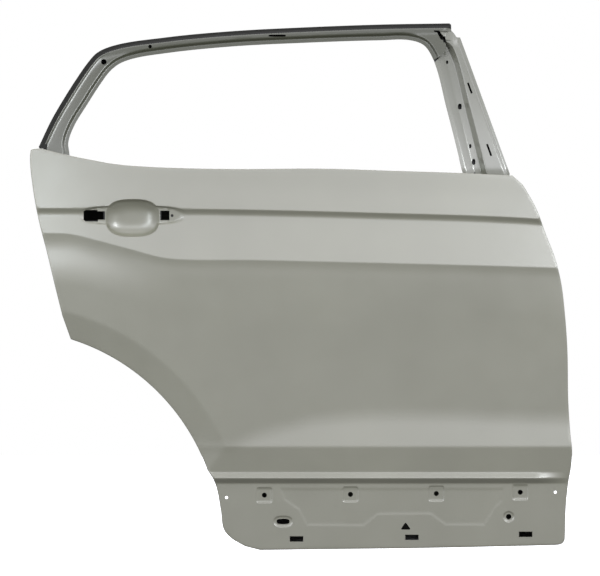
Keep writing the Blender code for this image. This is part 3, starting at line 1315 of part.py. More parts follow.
def regulator_nuts():
    for number, (x, z) in enumerate(REGULATOR_HOLES, 1):
        y = TRIM_FACE_DEPTH - SEAT_GAP - NUT_HEIGHT / 2
        mesh = bpy.data.meshes.new("regulator_weld_nut")
        work = bmesh.new()
        bmesh.ops.create_cone(
            work, cap_ends=True, segments=6, radius1=NUT_RADIUS, radius2=NUT_RADIUS, depth=NUT_HEIGHT
        )
        work.to_mesh(mesh)
        work.free()
        nut = place(bpy.data.objects.new(f"regulator_weld_nut_{number}", mesh), bare_steel)
        nut.location = (x, y, z)
        nut.rotation_euler = (math.pi / 2, 0, 0)
        bore = drill(f"nut_bore_{number}", (x, y, z), REGULATOR_HOLE_RADIUS, NUT_HEIGHT * 3, "y", 8)
        cut(nut, bore)


# Build

for old in list(bpy.data.objects):
    bpy.data.objects.remove(old, do_unlink=True)
parts = bpy.data.collections.new("car_door_shell")
cutters = bpy.data.collections.new("cutters")
bpy.context.scene.collection.children.link(parts)
bpy.context.scene.collection.children.link(cutters)
cutters.hide_render = True
root = bpy.data.objects.new("upper_hinge_origin", None)
parts.objects.link(root)
root.location = (-(HINGE_WALL + INNER_SHEET), -HINGE_DEPTH, -HINGE_UPPER)
primer = material("grey_green_primer", PRIMER)
frame_primer = material("frame_primer", FRAME_PRIMER)
bare_steel = material("bare_steel", BARE_STEEL)
mastic = material("mastic", MASTIC)
hinge_cutters = {"upper": [], "lower": []}
latch_cutters = []
check_cutters = []

outer_skin()
inner_panel()
window_frame_inner()
frame_header()
frame_front_pillar()
belt_rail_outer()
belt_rail_inner()
side_impact_beam()
beam_brackets()
hinge_reinforcements()
check_strap_reinforcement()
latch_reinforcement()
handle_reinforcement()
glass_guide("glass_run_channel_front", FRONT_GUIDE_TOP, FRONT_GUIDE_END, -1)
glass_guide("glass_run_channel_rear", REAR_GUIDE_TOP, REAR_GUIDE_END, 1)
guide_brackets()
belt_gussets()
mastic_pads()
regulator_nuts()
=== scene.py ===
"""Looks of the bare shell of a right-hand rear car door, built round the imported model.

Sizes are in metres. On the grid x runs forward from the rear wheel's centre, z up from it, and y inboard
from the door's widest line. Each sheet is a flat mesh pressed to a smooth depth at every point, with
rounded creases and its real thickness.
"""

import math

import bmesh
import bpy
import numpy as np
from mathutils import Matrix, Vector, geometry


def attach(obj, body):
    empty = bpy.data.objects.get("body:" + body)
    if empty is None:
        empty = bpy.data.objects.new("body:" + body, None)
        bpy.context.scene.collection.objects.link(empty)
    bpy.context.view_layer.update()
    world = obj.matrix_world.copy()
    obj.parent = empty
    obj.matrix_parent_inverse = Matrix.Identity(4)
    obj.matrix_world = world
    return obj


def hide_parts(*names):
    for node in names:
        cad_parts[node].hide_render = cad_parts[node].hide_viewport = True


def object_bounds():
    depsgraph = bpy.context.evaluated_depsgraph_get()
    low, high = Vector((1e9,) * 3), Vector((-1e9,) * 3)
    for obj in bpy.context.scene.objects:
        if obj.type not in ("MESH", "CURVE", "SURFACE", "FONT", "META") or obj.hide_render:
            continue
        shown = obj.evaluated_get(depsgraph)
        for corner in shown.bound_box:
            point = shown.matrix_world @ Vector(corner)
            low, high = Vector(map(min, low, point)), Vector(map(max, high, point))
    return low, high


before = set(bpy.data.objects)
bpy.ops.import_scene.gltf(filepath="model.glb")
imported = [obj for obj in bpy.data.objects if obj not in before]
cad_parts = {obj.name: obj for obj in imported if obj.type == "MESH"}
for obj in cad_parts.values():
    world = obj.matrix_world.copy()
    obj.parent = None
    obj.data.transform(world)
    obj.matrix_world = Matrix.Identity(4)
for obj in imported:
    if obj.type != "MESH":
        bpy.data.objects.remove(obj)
cad_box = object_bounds()

# View
PHOTO_SIZE = (600, 576)
PHOTO_METRES_PER_PIXEL = 0.00208
VIEW_CENTRE = (0.6086, 0.5292)
VIEW_DISTANCE = 36.0
VIEW_END = 100
SENSOR_MM = 36.0

# Sheets and the gaps between them
SKIN_SHEET = 0.0008
INNER_SHEET = 0.0008
FRAME_SHEET = 0.001
BRACKET_SHEET = 0.0015
HINGE_SHEET = 0.002
SEAT_GAP = 0.0003
HEM_GAP = 0.0005
HEM_RETURN = 0.008
HEM_STACK = 2 * SKIN_SHEET + INNER_SHEET + 2 * HEM_GAP
HEM_FOLD = HEM_STACK / 2
PANEL_EDGE_INSET = HEM_FOLD + 0.001

# Mesh sizes
OUTLINE_STEP = 0.036
FRAME_STEP = 0.006
ARCH_LENGTH = 0.41
FOOT_STEP_SHARE = 0.7

# Outline of the skin
ARCH_RADIUS = 0.443
ARCH_START_DEG = 19.9
ARCH_END_DEG = 72.6
BELT_LINE = [
    (0.0657, 0.8197), (0.0785, 0.8172), (0.1156, 0.8079), (0.1635, 0.7979), (0.2238, 0.7871),
    (0.2900, 0.7815), (0.4630, 0.7767), (0.6500, 0.7775), (0.8166, 0.7725), (0.9414, 0.7684),
    (1.0440, 0.7634), (1.0496, 0.7631),
]
FRONT_EDGE = [
    (1.0710, 0.7440), (1.0840, 0.7230), (1.1007, 0.6914), (1.1192, 0.6415), (1.1382, 0.5915),
    (1.1507, 0.5416), (1.1588, 0.4751), (1.1640, 0.4000), (1.1658, 0.2962), (1.1702, 0.2255),
    (1.1737, 0.1922), (1.1718, 0.1589), (1.1660, 0.1256), (1.1610, 0.0757), (1.1591, 0.0110),
]
BOTTOM_EDGE = [
    (1.1586, 0.0062), (1.1566, 0.0016), (1.1532, -0.0018), (1.1480, -0.0040), (1.1300, -0.0050),
    (1.0500, -0.0070), (0.9000, -0.0102), (0.7600, -0.0122), (0.6086, -0.0137), (0.5254, -0.0148),
]
REAR_FOOT = [
    (0.4950, -0.0075), (0.4663, 0.0092), (0.4511, 0.0258), (0.4441, 0.0674), (0.4345, 0.1173),
    (0.4276, 0.1340),
]
REAR_EDGE = [
    (0.1154, 0.4709), (0.0988, 0.5375), (0.0828, 0.6040), (0.0657, 0.6706), (0.0535, 0.7372),
    (0.0474, 0.8037),
]
REAR_BELT_CORNER = [(0.0488, 0.8166), (0.0560, 0.8186)]
HEM_NOTCHES = [
    ((0.0470, 0.8060), (0.0795, 0.8230)), ((1.0410, 0.7390), (1.0720, 0.7700)),
    ((0.4240, 0.1200), (0.4440, 0.1380)),
]

# Creases of the skin, and how far each stands inboard
SHOULDER_LINE = [
    (0.0300, 0.6948), (0.3000, 0.6940), (0.5046, 0.6914), (0.7542, 0.6852), (1.0663, 0.6748),
    (1.1800, 0.6660),
]
WAIST_LINE = [
    (0.0300, 0.6455), (0.0782, 0.6436), (0.1302, 0.6415), (0.1926, 0.6269), (0.2550, 0.6103),
    (0.3174, 0.5936), (0.3486, 0.5895), (0.5046, 0.5874), (0.6918, 0.5832), (0.9414, 0.5770),
    (1.1800, 0.5700),
]
SHOULDER_BEND = 0.045
SHOULDER_SLOPE_LOW = 0.18
SHOULDER_SLOPE_HIGH = 0.15
UNDERCUT_HEIGHT = 0.010
UNDERCUT_STEP = 0.0055
UNDERCUT_DEPTH = 0.021
WAIST_SLOPE = 0.223
WAIST_LIP = 0.012
WAIST_LIP_STEP = 0.0015
HAUNCH_TOP = 0.030
HAUNCH_FOOT = 0.080
HAUNCH_DEPTH = 0.0028
PANEL_MIDDLE = 0.400
PANEL_MIDDLE_DEPTH = 0.0065
PANEL_FOOT_DEPTH = 0.0125
SILL_CREASE = 0.1995
FLARE_TOP = [(0.4650, 0.1999), (0.5025, 0.2172), (0.5795, 0.2400), (0.6500, 0.2562), (1.1900, 0.2572)]
FLARE_SLOPE = 0.12
RIM_WIDTH = 0.052
RIM_SLOPE = 0.118
RIDGE_TOP = 0.1464
RIDGE_CREST = 0.1340
RIDGE_FOOT = 0.1236
RIDGE_RISE = 0.005
RIDGE_STEP = 0.010
RIDGE_END = 1.100
RIDGE_FADE = 0.070
SKIRT_SLOPE = 0.037
SECTION_OVER_SHOULDER = 0.2
SECTION_FOOT = -0.1
BOW_CENTRE = 0.620
BOW_HALF = 0.550
BOW_DEPTH = 0.012

# Handle seat and bowl
SEAT_CENTRE = (0.2602, 0.6803)
SEAT_HALF = (0.1118, 0.0203)
SEAT_POWER = 3.2
SEAT_RAMP = 0.003
SEAT_DEPTH = 0.0215
BOWL_CENTRE = (0.2609, 0.6745)
BOWL_HALF = (0.0560, 0.0390)
BOWL_POWER = 2.7
BOWL_DEPTH = 0.017
LATCH_WINDOW = [
    (0.1590, 0.6712), (0.1635, 0.6674), (0.1890, 0.6674), (0.1890, 0.6712), (0.2036, 0.6712),
    (0.2036, 0.6885), (0.1880, 0.6885), (0.1880, 0.6912), (0.1635, 0.6912), (0.1590, 0.6885),
]
PIVOT_WINDOW = [(0.3182, 0.6700), (0.3374, 0.6700), (0.3374, 0.6898), (0.3182, 0.6898)]
HANDLE_PIN_HOLE = (0.3430, 0.6796)
HANDLE_PIN_RADIUS = 0.003

# Skirt: pads, beads, slots and holes
PAD_PLACES = [(0.5346, 0.0990), (0.7134, 0.1007), (0.8917, 0.1023), (1.0660, 0.1050)]
PAD_SIDE = 0.034
PAD_POWER = 7
PAD_POINTS = 40
PAD_STEP = 0.0018
PAD_RAMP = 0.0035
PAD_HOLE_RADIUS = 0.0052
EMBOSS_STEP = 0.0005
EMBOSS_RAMP = 0.0065
EMBOSS_FIELD = [
    (0.5640, 0.1150), (0.5733, 0.0882), (0.6044, 0.0674), (0.6211, 0.0345), (0.7417, 0.0333),
    (0.7708, 0.0570), (0.8790, 0.0578), (0.9102, 0.0349), (0.9934, 0.0349), (1.0163, 0.0716),
    (1.0320, 0.0861), (1.0340, 0.1150),
]
CLIP_HOLES = [(0.4560, 0.0940), (1.1390, 0.1050)]
CLIP_HOLE_RADIUS = 0.0031
DRAIN_SLOTS = [(0.6013, 0.0081), (0.8409, 0.0114), (1.0772, 0.0177)]
DRAIN_SLOT_SIZE = (0.0279, 0.0112)
OVAL_HOLE = (0.5735, 0.0443)
OVAL_HALF = (0.0135, 0.0056)
OVAL_POWER = 3
OVAL_DIMPLE = 0.007
OVAL_DIMPLE_POWER = 2.6
OVAL_DIMPLE_POINTS = 14
ROUND_HOLE = (1.0421, 0.0543)
ROUND_HOLE_RADIUS = 0.0056
ROUND_DIMPLE_RADIUS = 0.0125
ROUND_DIMPLE_POINTS = 12
TRIANGLE_HOLE = [
    (0.8198, 0.0275), (0.8362, 0.0275), (0.8375, 0.0284), (0.8373, 0.0300), (0.8298, 0.0406),
    (0.8279, 0.0414), (0.8260, 0.0405), (0.8189, 0.0300), (0.8187, 0.0284),
]

# Inner panel
HINGE_WALL = 1.130
HINGE_WALL_SPAN = (0.025, 0.560)
LATCH_WALL = 0.128
LATCH_HEIGHT = 0.561
LATCH_WALL_REACH = (0.081, 0.045)
LATCH_WALL_SPAN = (LATCH_HEIGHT - LATCH_WALL_REACH[0], LATCH_HEIGHT + LATCH_WALL_REACH[1])
WALL_DRAFT = 0.006
WALL_LINE = [
    (0.0640, 0.9000), (0.0640, LATCH_WALL_SPAN[1] + 0.1840), (0.0735, LATCH_WALL_SPAN[1] + 0.0940),
    (0.0800, LATCH_WALL_SPAN[1] + 0.0490), (LATCH_WALL, LATCH_WALL_SPAN[1]),
    (LATCH_WALL, LATCH_WALL_SPAN[0]),
]
ARCH_WALL_INSET = 0.026
ARCH_WALL_DEG = (ARCH_END_DEG - 1.5, ARCH_START_DEG - 1.0)
ARCH_WALL_POINTS = 12
WALL_LINE_FOOT = [(0.4560, 0.1240), (0.4720, 0.0700), (0.4800, 0.0300), (0.5150, 0.0010)]
WALL_LINE_FRONT = [
    (1.1180, 0.0085), (HINGE_WALL, HINGE_WALL_SPAN[0]), (HINGE_WALL, HINGE_WALL_SPAN[1]),
    (1.1050, 0.6415), (1.0867, 0.6914), (1.0580, 0.7400), (1.0560, 0.9000),
]
BELT_DROP = 0.003
BELT_FACE_DEPTH = 0.100
TRIM_FACE_DEPTH = 0.128
FOOT_FACE_DEPTH = 0.112
FACE_STEP_TOP = 0.700
FACE_STEP_FOOT = 0.655
FACE_TAPER_TOP = 0.055
SERVICE_OPENING = ((0.600, 0.305), (1.000, 0.600))
SERVICE_RADIUS = 0.045
LATCH_OPENING = ((0.215, 0.500), (0.500, 0.600))
LATCH_OPENING_RADIUS = 0.035
SPEAKER_CENTRE = (0.800, 0.165)
SPEAKER_RADIUS = 0.078
SPEAKER_SEAT_RADIUS = 0.098
SPEAKER_SEAT_STEP = 0.005
SPEAKER_SEAT_RAMP = 0.006
TRIM_HOLE_RADIUS = 0.0045
TRIM_HOLES = [
    (0.150, 0.680), (0.400, 0.680), (0.700, 0.680), (1.030, 0.680), (1.095, 0.420), (1.095, 0.235),
    (1.000, 0.060), (0.620, 0.060), (0.540, 0.250), (0.430, 0.400),
]
DRAIN_MATCHES = [(0.8009, 0.0110), (1.0372, 0.0160)]
DRAIN_MATCH_SIZE = (0.024, 0.0036)
REGULATOR_HOLES = [(0.560, 0.560), (0.560, 0.345), (1.045, 0.560), (1.045, 0.345)]
REGULATOR_HOLE_RADIUS = 0.0045

# Hinges, check strap and latch
HINGE_UPPER = 0.455
HINGE_LOWER = 0.150
HINGE_DEPTH = 0.078
HINGE_PLATE = (0.036, 0.086)
HINGE_PLATE_THICKNESS = 0.006
HINGE_BOLT_SPACING = 0.050
HINGE_BOLT_RADIUS = 0.0052
HINGE_REINFORCEMENT_HEIGHT = 0.124
HINGE_REINFORCEMENT_LEG = 0.040
HINGE_REINFORCEMENT_EDGE = 0.046
CHECK_HEIGHT = 0.265
CHECK_SLOT = (0.016, 0.038)
CHECK_PLATE_HEIGHT = 0.074
CHECK_PLATE_EDGES = (0.050, 0.108)
GROMMET_HEIGHT = 0.538
GROMMET_RADIUS = 0.014
LATCH_DEPTH = 0.085
LATCH_SLOT = (0.026, 0.038)
LATCH_BOLT_RADIUS = 0.0035
LATCH_BOLTS = [(-0.020, 0.026), (-0.020, -0.026), (0.022, 0.0)]
LATCH_REINFORCEMENT_HEIGHT = 0.078
LATCH_REINFORCEMENT_EDGE = 0.052
LATCH_REINFORCEMENT_LEG = 0.036

# Window frame
FRAME_DEPTH = 0.046
FRAME_LEAN_START = 0.777
FRAME_LEAN = 0.200
FRAME_CURVE_RADIUS = 1.100
FRAME_OUTER_EDGE = [
    (0.0653, 0.8224), (0.0917, 0.8786), (0.1156, 0.9203), (0.1416, 0.9619), (0.1687, 1.0008),
    (0.1851, 1.0186), (0.2149, 1.0325), (0.3278, 1.0512), (0.4651, 1.0643), (0.6086, 1.0720),
    (0.7750, 1.0783), (0.9200, 1.0808),
]
FRAME_CORNER = [(0.9235, 1.0780), (0.9240, 1.0655)]
FRAME_FRONT_EDGE = [(0.9352, 1.0516), (0.9422, 1.0512), (1.0444, 0.7673), (1.0444, 0.7000)]
OPENING_EDGE = [
    (0.1290, 0.7350), (0.1294, 0.8068), (0.1267, 0.8308), (0.1369, 0.8626), (0.1666, 0.9127),
    (0.1964, 0.9591), (0.2130, 0.9810), (0.2317, 0.9962), (0.2560, 1.0060), (0.3278, 1.0186),
    (0.4651, 1.0327),
    (0.6086, 1.0402), (0.7750, 1.0458), (0.8374, 1.0460), (0.8660, 1.0360), (0.8817, 1.0150),
    (0.9144, 0.8994), (0.9468, 0.7684), (0.9628, 0.7000),
]
FRAME_JOINT = [
    (0.9240, 1.0640), (0.8936, 1.0640), (0.9019, 1.0534), (0.9113, 1.0409), (0.9130, 1.0250),
    (0.9010, 1.0120), (0.8860, 1.0010),
]
FRAME_JOINT_GAP = 0.0003
JOINT_TO_FRONT = [(0.8600, 0.9000), (0.8600, 0.6), (1.2, 0.6), (1.2, 1.3), (0.9240, 1.3)]
JOINT_TO_REAR = [(0.8600, 0.9000), (0.8600, 0.6), (0.0, 0.6), (0.0, 1.3), (0.9240, 1.3)]
FRAME_BOX_CORNER = [(0.9150, 1.0720), (0.9440, 1.0430)]
OUTER_BAND = 0.006
OUTER_BAND_STEP = 0.005
OUTER_CREASE = 0.010
FACE_FALL = 0.005
FACE_FALL_WIDTH = 0.012
OPENING_FLANGE = 0.008
OPENING_FLANGE_STEP = 0.012
OPENING_STEP_START = 0.0125
FRAME_SEAT = 0.0005
FRAME_INNER_INSET = 0.0004
FRAME_BOX_DEPTH = 0.032
FRAME_BOX_WALL = 0.004
CHANNEL_FLOOR_STEP = 0.020
CHANNEL_SLOPE_END = 0.024
CHANNEL_FLOOR_END = 0.038
CHANNEL_WALL_END = 0.048
CHANNEL_RISE = 1.6
REAR_FOOT_EDGE = 0.082
REAR_FOOT_END = OPENING_EDGE[0][1]
FOOT_NOTCH = 0.8186
FOOT_NOTCH_RAMP = (0.006, 0.004)
ABOVE_NOTCH = (FRAME_OUTER_EDGE[0][0] + 0.002, FOOT_NOTCH + 0.001)
PILLAR_HOLES = [((0.9151, 0.9996), (0.0022, 0.0036)), ((0.9412, 0.9068), (0.0040, 0.0060)),
                ((0.9626, 0.8245), (0.0026, 0.0042)), ((0.9697, 0.7914), (0.0036, 0.0062))]
PILLAR_SLOTS = [((0.9620, 0.9452), 0.0235), ((1.0017, 0.8162), 0.0260)]
PILLAR_HOLE_POWER = 3
PILLAR_SLOT_WIDTH = 0.0040
PILLAR_SLOT_SIDE = 0.003
PILLAR_DIRECTION = (0.339, -0.941)
HEADER_HOLE = (0.2001, 1.0001)
HEADER_HOLE_RADIUS = 0.0058
HEADER_SLOT = (0.5611, 1.0549)
HEADER_SLOT_HALF = (0.018, 0.0022)
HEADER_SLOT_POWER = 4

# Points round each loop
PIN_POINTS = 16
HOLE_POINTS = 20
OVAL_POINTS = 28
BOLT_POINTS = 24
LATCH_BOLT_POINTS = 18
SMALL_HEADER_POINTS = 14
GROMMET_POINTS = 32
SPEAKER_POINTS = 96
SPEAKER_RING_POINTS = 110
DIMPLE_RING_POINTS = 26
SERVICE_CORNER_POINTS = 14
LATCH_CORNER_POINTS = 12
SLOT_CORNER_POINTS = 4
FLOOR_POINTS = 96

# Rails, beam and small pieces
BEAM_RADIUS = 0.015
BEAM_WALL = 0.002
BEAM_DEPTH = 0.042
BEAM_FRONT = (1.105, 0.352)
LATCH_ABOVE_BEAM = 0.056
BEAM_REAR = (0.185, LATCH_HEIGHT - LATCH_ABOVE_BEAM)
SADDLE_LENGTH = 0.070
SADDLE_HALF_HEIGHT = 0.0175
NUT_RADIUS = 0.0085
NUT_HEIGHT = 0.007

# Lines and loops

HEIGHT_STEP = 0.006
MITRE_LIMIT = 0.6


def curve_through(points, step):
    """Points about a step apart along a smooth curve through the given ones."""
    p = np.array(points, float)
    lengths = np.linalg.norm(np.diff(p, axis=0), axis=1)
    chords = np.diff(p, axis=0) / lengths[:, None]
    tangents = np.vstack([chords[:1], chords[:-1] + chords[1:], chords[-1:]])
    tangents[1:-1] /= 2
    made = []
    for i, length in enumerate(lengths):
        count = max(1, round(length / step))
        t = np.arange(count)[:, None] / count
        a = (1 + 2 * t) * (1 - t) ** 2 * p[i] + t ** 2 * (3 - 2 * t) * p[i + 1]
        b = t * (1 - t) ** 2 * tangents[i] - t ** 2 * (1 - t) * tangents[i + 1]
        made.append(a + b * length)
    made.append(p[-1:])
    return np.vstack(made)


def height_of(points):
    """z as a smooth function of x through the given points."""
    fine = curve_through(points, HEIGHT_STEP)
    return lambda x: np.interp(x, fine[:, 0], fine[:, 1])


def straight_through(points, step):
    """Points along straight runs between the given ones."""
    made = []
    for a, b in zip(points[:-1], points[1:]):
        count = max(1, round(math.dist(a, b) / step))
        made += [tuple(np.array(a) + (np.array(b) - np.array(a)) * k / count) for k in range(count)]
    return np.array(made + [points[-1]])


def superellipse(centre, half, power, count, scale=1.0):
    """A loop between an ellipse, at power 2, and a box, at high powers."""
    angles = np.arange(count) * 2 * math.pi / count
    c, s = np.cos(angles), np.sin(angles)
    x = np.sign(c) * np.abs(c) ** (2 / power) * half[0] * scale
    z = np.sign(s) * np.abs(s) ** (2 / power) * half[1] * scale
    return np.column_stack([centre[0] + x, centre[1] + z])


def circle(centre, radius, count):
    return superellipse(centre, (radius, radius), 2, count)


def arc(radius, degrees):
    """Points round the wheel's centre."""
    angles = np.radians(degrees)
    return radius * np.column_stack([np.cos(angles), np.sin(angles)])


def rectangle(centre, size):
    x, z = centre
    a, b = size[0] / 2, size[1] / 2
    return np.array([(x - a, z - b), (x + a, z - b), (x + a, z + b), (x - a, z + b)])


def rounded_rectangle(low, high, radius, corner_points):
    loop = []
    corners = [(high[0], low[1], -90), (high[0], high[1], 0), (low[0], high[1], 90), (low[0], low[1], 180)]
    for x, z, start in corners:
        cx = x - radius if x == high[0] else x + radius
        cz = z - radius if z == high[1] else z + radius
        for k in range(corner_points):
            angle = math.radians(start + 90 * k / (corner_points - 1))
            loop.append((cx + radius * math.cos(angle), cz + radius * math.sin(angle)))
    return np.array(loop)


def refined(loop, step):
    """A closed loop with points added so that no side is longer than about a step."""
    return straight_through([tuple(p) for p in loop] + [tuple(loop[0])], step)[:-1]


def units(vectors):
    return vectors / np.linalg.norm(vectors, axis=1)[:, None]


def left_of(directions):
    return np.column_stack([-directions[:, 1], directions[:, 0]])


def mitred(line, before, after, distance):
    """Points moved to the left of the runs before and after them, further at a corner."""
    normals = units(left_of(before + after))
    cosines = np.maximum((normals * left_of(after)).sum(axis=1), MITRE_LIMIT)
    return line + normals * (distance / cosines)[:, None]


def inset(loop, distance):
    """A closed anticlockwise loop moved inwards, with mitred corners."""
    before = units(loop - np.roll(loop, 1, axis=0))
    after = units(np.roll(loop, -1, axis=0) - loop)
    return mitred(loop, before, after, distance)


def moved_sideways(line, distance):
    """An open line moved to its left, with mitred corners."""
    runs = units(np.diff(line, axis=0))
    return mitred(line, np.vstack([runs[:1], runs]), np.vstack([runs, runs[-1:]]), distance)


def distance_to(points, line, closed):
    """The distance of each point from a line."""
    ends = np.roll(line, -1, axis=0) if closed else line[1:]
    starts = line if closed else line[:-1]
    along = ends - starts
    best = np.full(len(points), np.inf)
    for start, step in zip(starts, along):
        length = max(step @ step, 1e-16)
        t = np.clip((points - start) @ step / length, 0, 1)
        best = np.minimum(best, np.linalg.norm(points - start - t[:, None] * step, axis=1))
    return best


def inside(points, loop):
    """Which points lie inside a closed loop."""
    x, z = points.T
    found = np.zeros(len(points), bool)
    for (x0, z0), (x1, z1) in zip(loop, np.roll(loop, -1, axis=0)):
        if z0 == z1:
            continue
        crosses = (z0 > z) != (z1 > z)
        found ^= crosses & (x < x0 + (z - z0) / (z1 - z0) * (x1 - x0))
    return found


def depth_inside(points, loop):
    """How far each point lies inside a loop, less than nothing outside it."""
    return np.where(inside(points, loop), 1, -1) * distance_to(points, loop, True)


def ramp(values):
    return np.clip(values, 0, 1)


def between(values, span, margin=0.0):
    return (values > span[0] - margin) & (values < span[1] + margin)


# Blanks: flat triangle meshes over an outline

def compact(points, faces):
    """The points that the faces use, and the faces renumbered to them."""
    used = np.unique(faces)
    place = np.zeros(len(points), int)
    place[used] = np.arange(len(used))
    return points[used], place[faces]


def outer_boundary(plan, faces):
    """The vertices round the outside of a blank, in order."""
    directed = {(int(f[k]), int(f[(k + 1) % 3])) for f in faces for k in range(3)}
    follows = {a: b for a, b in directed if (b, a) not in directed}
    loops = []
    while follows:
        start, at = next(iter(follows.items()))
        loop = [start]
        del follows[start]
        while at != start:
            loop.append(at)
            at = follows.pop(at)
        loops.append(loop)
    return max(loops, key=lambda loop: np.ptp(plan[loop], axis=0).sum())


# The skin's shape

belt_height = height_of(BELT_LINE)
shoulder_height = height_of(SHOULDER_LINE)
waist_height = height_of(WAIST_LINE)
flare_height = height_of(FLARE_TOP)
RIM_RADIUS = ARCH_RADIUS + RIM_WIDTH


def bow(x):
    return BOW_DEPTH * ((x - BOW_CENTRE) / BOW_HALF) ** 2


def skin_outline(step):
    """The edge of the finished skin, anticlockwise seen from outboard."""
    arch = arc(ARCH_RADIUS, np.linspace(ARCH_START_DEG, ARCH_END_DEG, round(ARCH_LENGTH / step)))
    runs = [
        curve_through(BELT_LINE, step),
        curve_through(REAR_EDGE + REAR_BELT_CORNER, step),
        arch,
        curve_through(REAR_FOOT, step * FOOT_STEP_SHARE),
        curve_through(BOTTOM_EDGE, step),
        curve_through(FRONT_EDGE, step),
    ]
    return np.vstack([run[::-1] for run in runs])


def stations(x):
    """Heights and depths of the creases at x, from the belt down."""
    shoulder, waist = shoulder_height(x), waist_height(x)
    undercut = shoulder - UNDERCUT_HEIGHT
    flare = flare_height(x)
    waist_depth = UNDERCUT_DEPTH - WAIST_SLOPE * (undercut - waist)
    shoulder_depth = UNDERCUT_DEPTH - UNDERCUT_STEP
    bend_depth = shoulder_depth + SHOULDER_SLOPE_LOW * SHOULDER_BEND
    lip_depth = waist_depth + WAIST_LIP_STEP
    fall = (PANEL_FOOT_DEPTH - PANEL_MIDDLE_DEPTH) / (PANEL_MIDDLE - SILL_CREASE)
    flare_depth = PANEL_MIDDLE_DEPTH + fall * (PANEL_MIDDLE - flare)
    sill_depth = flare_depth - FLARE_SLOPE * (flare - SILL_CREASE)
    ridge_depth = sill_depth + RIM_SLOPE * (SILL_CREASE - RIDGE_TOP)
    fade = ramp((RIDGE_END - x) / RIDGE_FADE + 1)
    foot_depth = ridge_depth - RIDGE_RISE + RIDGE_STEP
    plain_depth = (ridge_depth + foot_depth) / 2
    crest_depth = plain_depth + (ridge_depth - RIDGE_RISE - plain_depth) * fade
    same = np.ones_like(x)
    top, bottom = shoulder + SECTION_OVER_SHOULDER, SECTION_FOOT
    skirt_depth = foot_depth + SKIRT_SLOPE * (RIDGE_FOOT - bottom)
    top_depth = bend_depth + SHOULDER_SLOPE_HIGH * (top - shoulder - SHOULDER_BEND)
    return [
        (top, top_depth),
        (shoulder + SHOULDER_BEND, bend_depth * same),
        (shoulder, shoulder_depth * same),
        (undercut, UNDERCUT_DEPTH * same),
        (waist, waist_depth),
        (waist - WAIST_LIP, lip_depth),
        (waist - HAUNCH_TOP, lip_depth),
        (waist - HAUNCH_FOOT, HAUNCH_DEPTH * same),
        (PANEL_MIDDLE * same, PANEL_MIDDLE_DEPTH * same),
        (flare, flare_depth),
        (SILL_CREASE * same, sill_depth),
        (RIDGE_TOP * same, ridge_depth),
        (RIDGE_CREST * same, crest_depth),
        (RIDGE_FOOT * same, foot_depth),
        (bottom * same, skirt_depth),
    ]


def superellipse_reach(x, z, centre, half, power):
    across_share = np.abs((x - centre[0]) / half[0]) ** power
    up_share = np.abs((z - centre[1]) / half[1]) ** power
    return (across_share + up_share) ** (1 / power)


def skirt_loops():
    """Each pressed shape of the skirt: its loop, the width of its ramp and how deep it goes."""
    half = PAD_SIDE / 2
    loops = [superellipse(p, (half, half), PAD_POWER, PAD_POINTS) for p in PAD_PLACES]
    oval_half = (OVAL_HALF[0] + OVAL_DIMPLE, OVAL_HALF[1] + OVAL_DIMPLE)
    loops.append(superellipse(OVAL_HOLE, oval_half, OVAL_DIMPLE_POWER, OVAL_DIMPLE_POINTS))
    loops.append(circle(ROUND_HOLE, ROUND_DIMPLE_RADIUS, ROUND_DIMPLE_POINTS))
    pressed = [(loop, PAD_RAMP, PAD_STEP) for loop in loops]
    return pressed + [(np.array(EMBOSS_FIELD), EMBOSS_RAMP, EMBOSS_STEP)]


def seat_plane(x):
    """Depth of the flat handle seat, which leans with the door's bow from end to end."""
    low, high = SEAT_CENTRE[0] - SEAT_HALF[0], SEAT_CENTRE[0] + SEAT_HALF[0]
    return SEAT_DEPTH + bow(low) + (bow(high) - bow(low)) * (x - low) / (high - low)


def across(height, low, high, step):
    """Points along a height over x."""
    x = np.linspace(low, high, max(2, round((high - low) / step)))
    return np.column_stack([x, height(x)])


def wall_loop():
    """The foot of the inner panel's wall, closed above the belt."""
    arch = arc(ARCH_RADIUS + ARCH_WALL_INSET, np.linspace(*ARCH_WALL_DEG, ARCH_WALL_POINTS))
    path = WALL_LINE + [tuple(p) for p in arch] + WALL_LINE_FOOT + WALL_LINE_FRONT
    return straight_through(path, OUTLINE_STEP)


def trim_face_depth(x, z):
    """Depth of the face that the trim lies on, with its step, its tapered foot and the speaker's seat."""
    step = ramp((FACE_STEP_TOP - z) / (FACE_STEP_TOP - FACE_STEP_FOOT))
    depth = BELT_FACE_DEPTH + (TRIM_FACE_DEPTH - BELT_FACE_DEPTH) * step
    depth = depth + (FOOT_FACE_DEPTH - TRIM_FACE_DEPTH) * ramp((FACE_TAPER_TOP - z) / FACE_TAPER_TOP)
    from_speaker = np.hypot(x - SPEAKER_CENTRE[0], z - SPEAKER_CENTRE[1])
    return depth - SPEAKER_SEAT_STEP * ramp((SPEAKER_SEAT_RADIUS - from_speaker) / SPEAKER_SEAT_RAMP)


# The window frame's outlines

def frame_lean(z):
    """Depth of the frame's outer face, which leans and curves inboard over the belt."""
    above = np.maximum(z - FRAME_LEAN_START, 0)
    return FRAME_DEPTH + FRAME_LEAN * above + above ** 2 / (2 * FRAME_CURVE_RADIUS)


def outer_edge():
    return curve_through(FRAME_OUTER_EDGE, FRAME_STEP)


def front_edge():
    return straight_through(FRAME_FRONT_EDGE, FRAME_STEP)


def opening_edge():
    return curve_through(OPENING_EDGE, FRAME_STEP)


def frame_outer_path():
    return np.vstack([rear_foot_edge(), [ABOVE_NOTCH], outer_edge(), FRAME_CORNER, front_edge()])


def ring_outline():
    """The window frame seen square on, from the rear foot over the header to the front foot."""
    clockwise = np.vstack([frame_outer_path(), opening_edge()[::-1]])
    return clockwise[::-1]


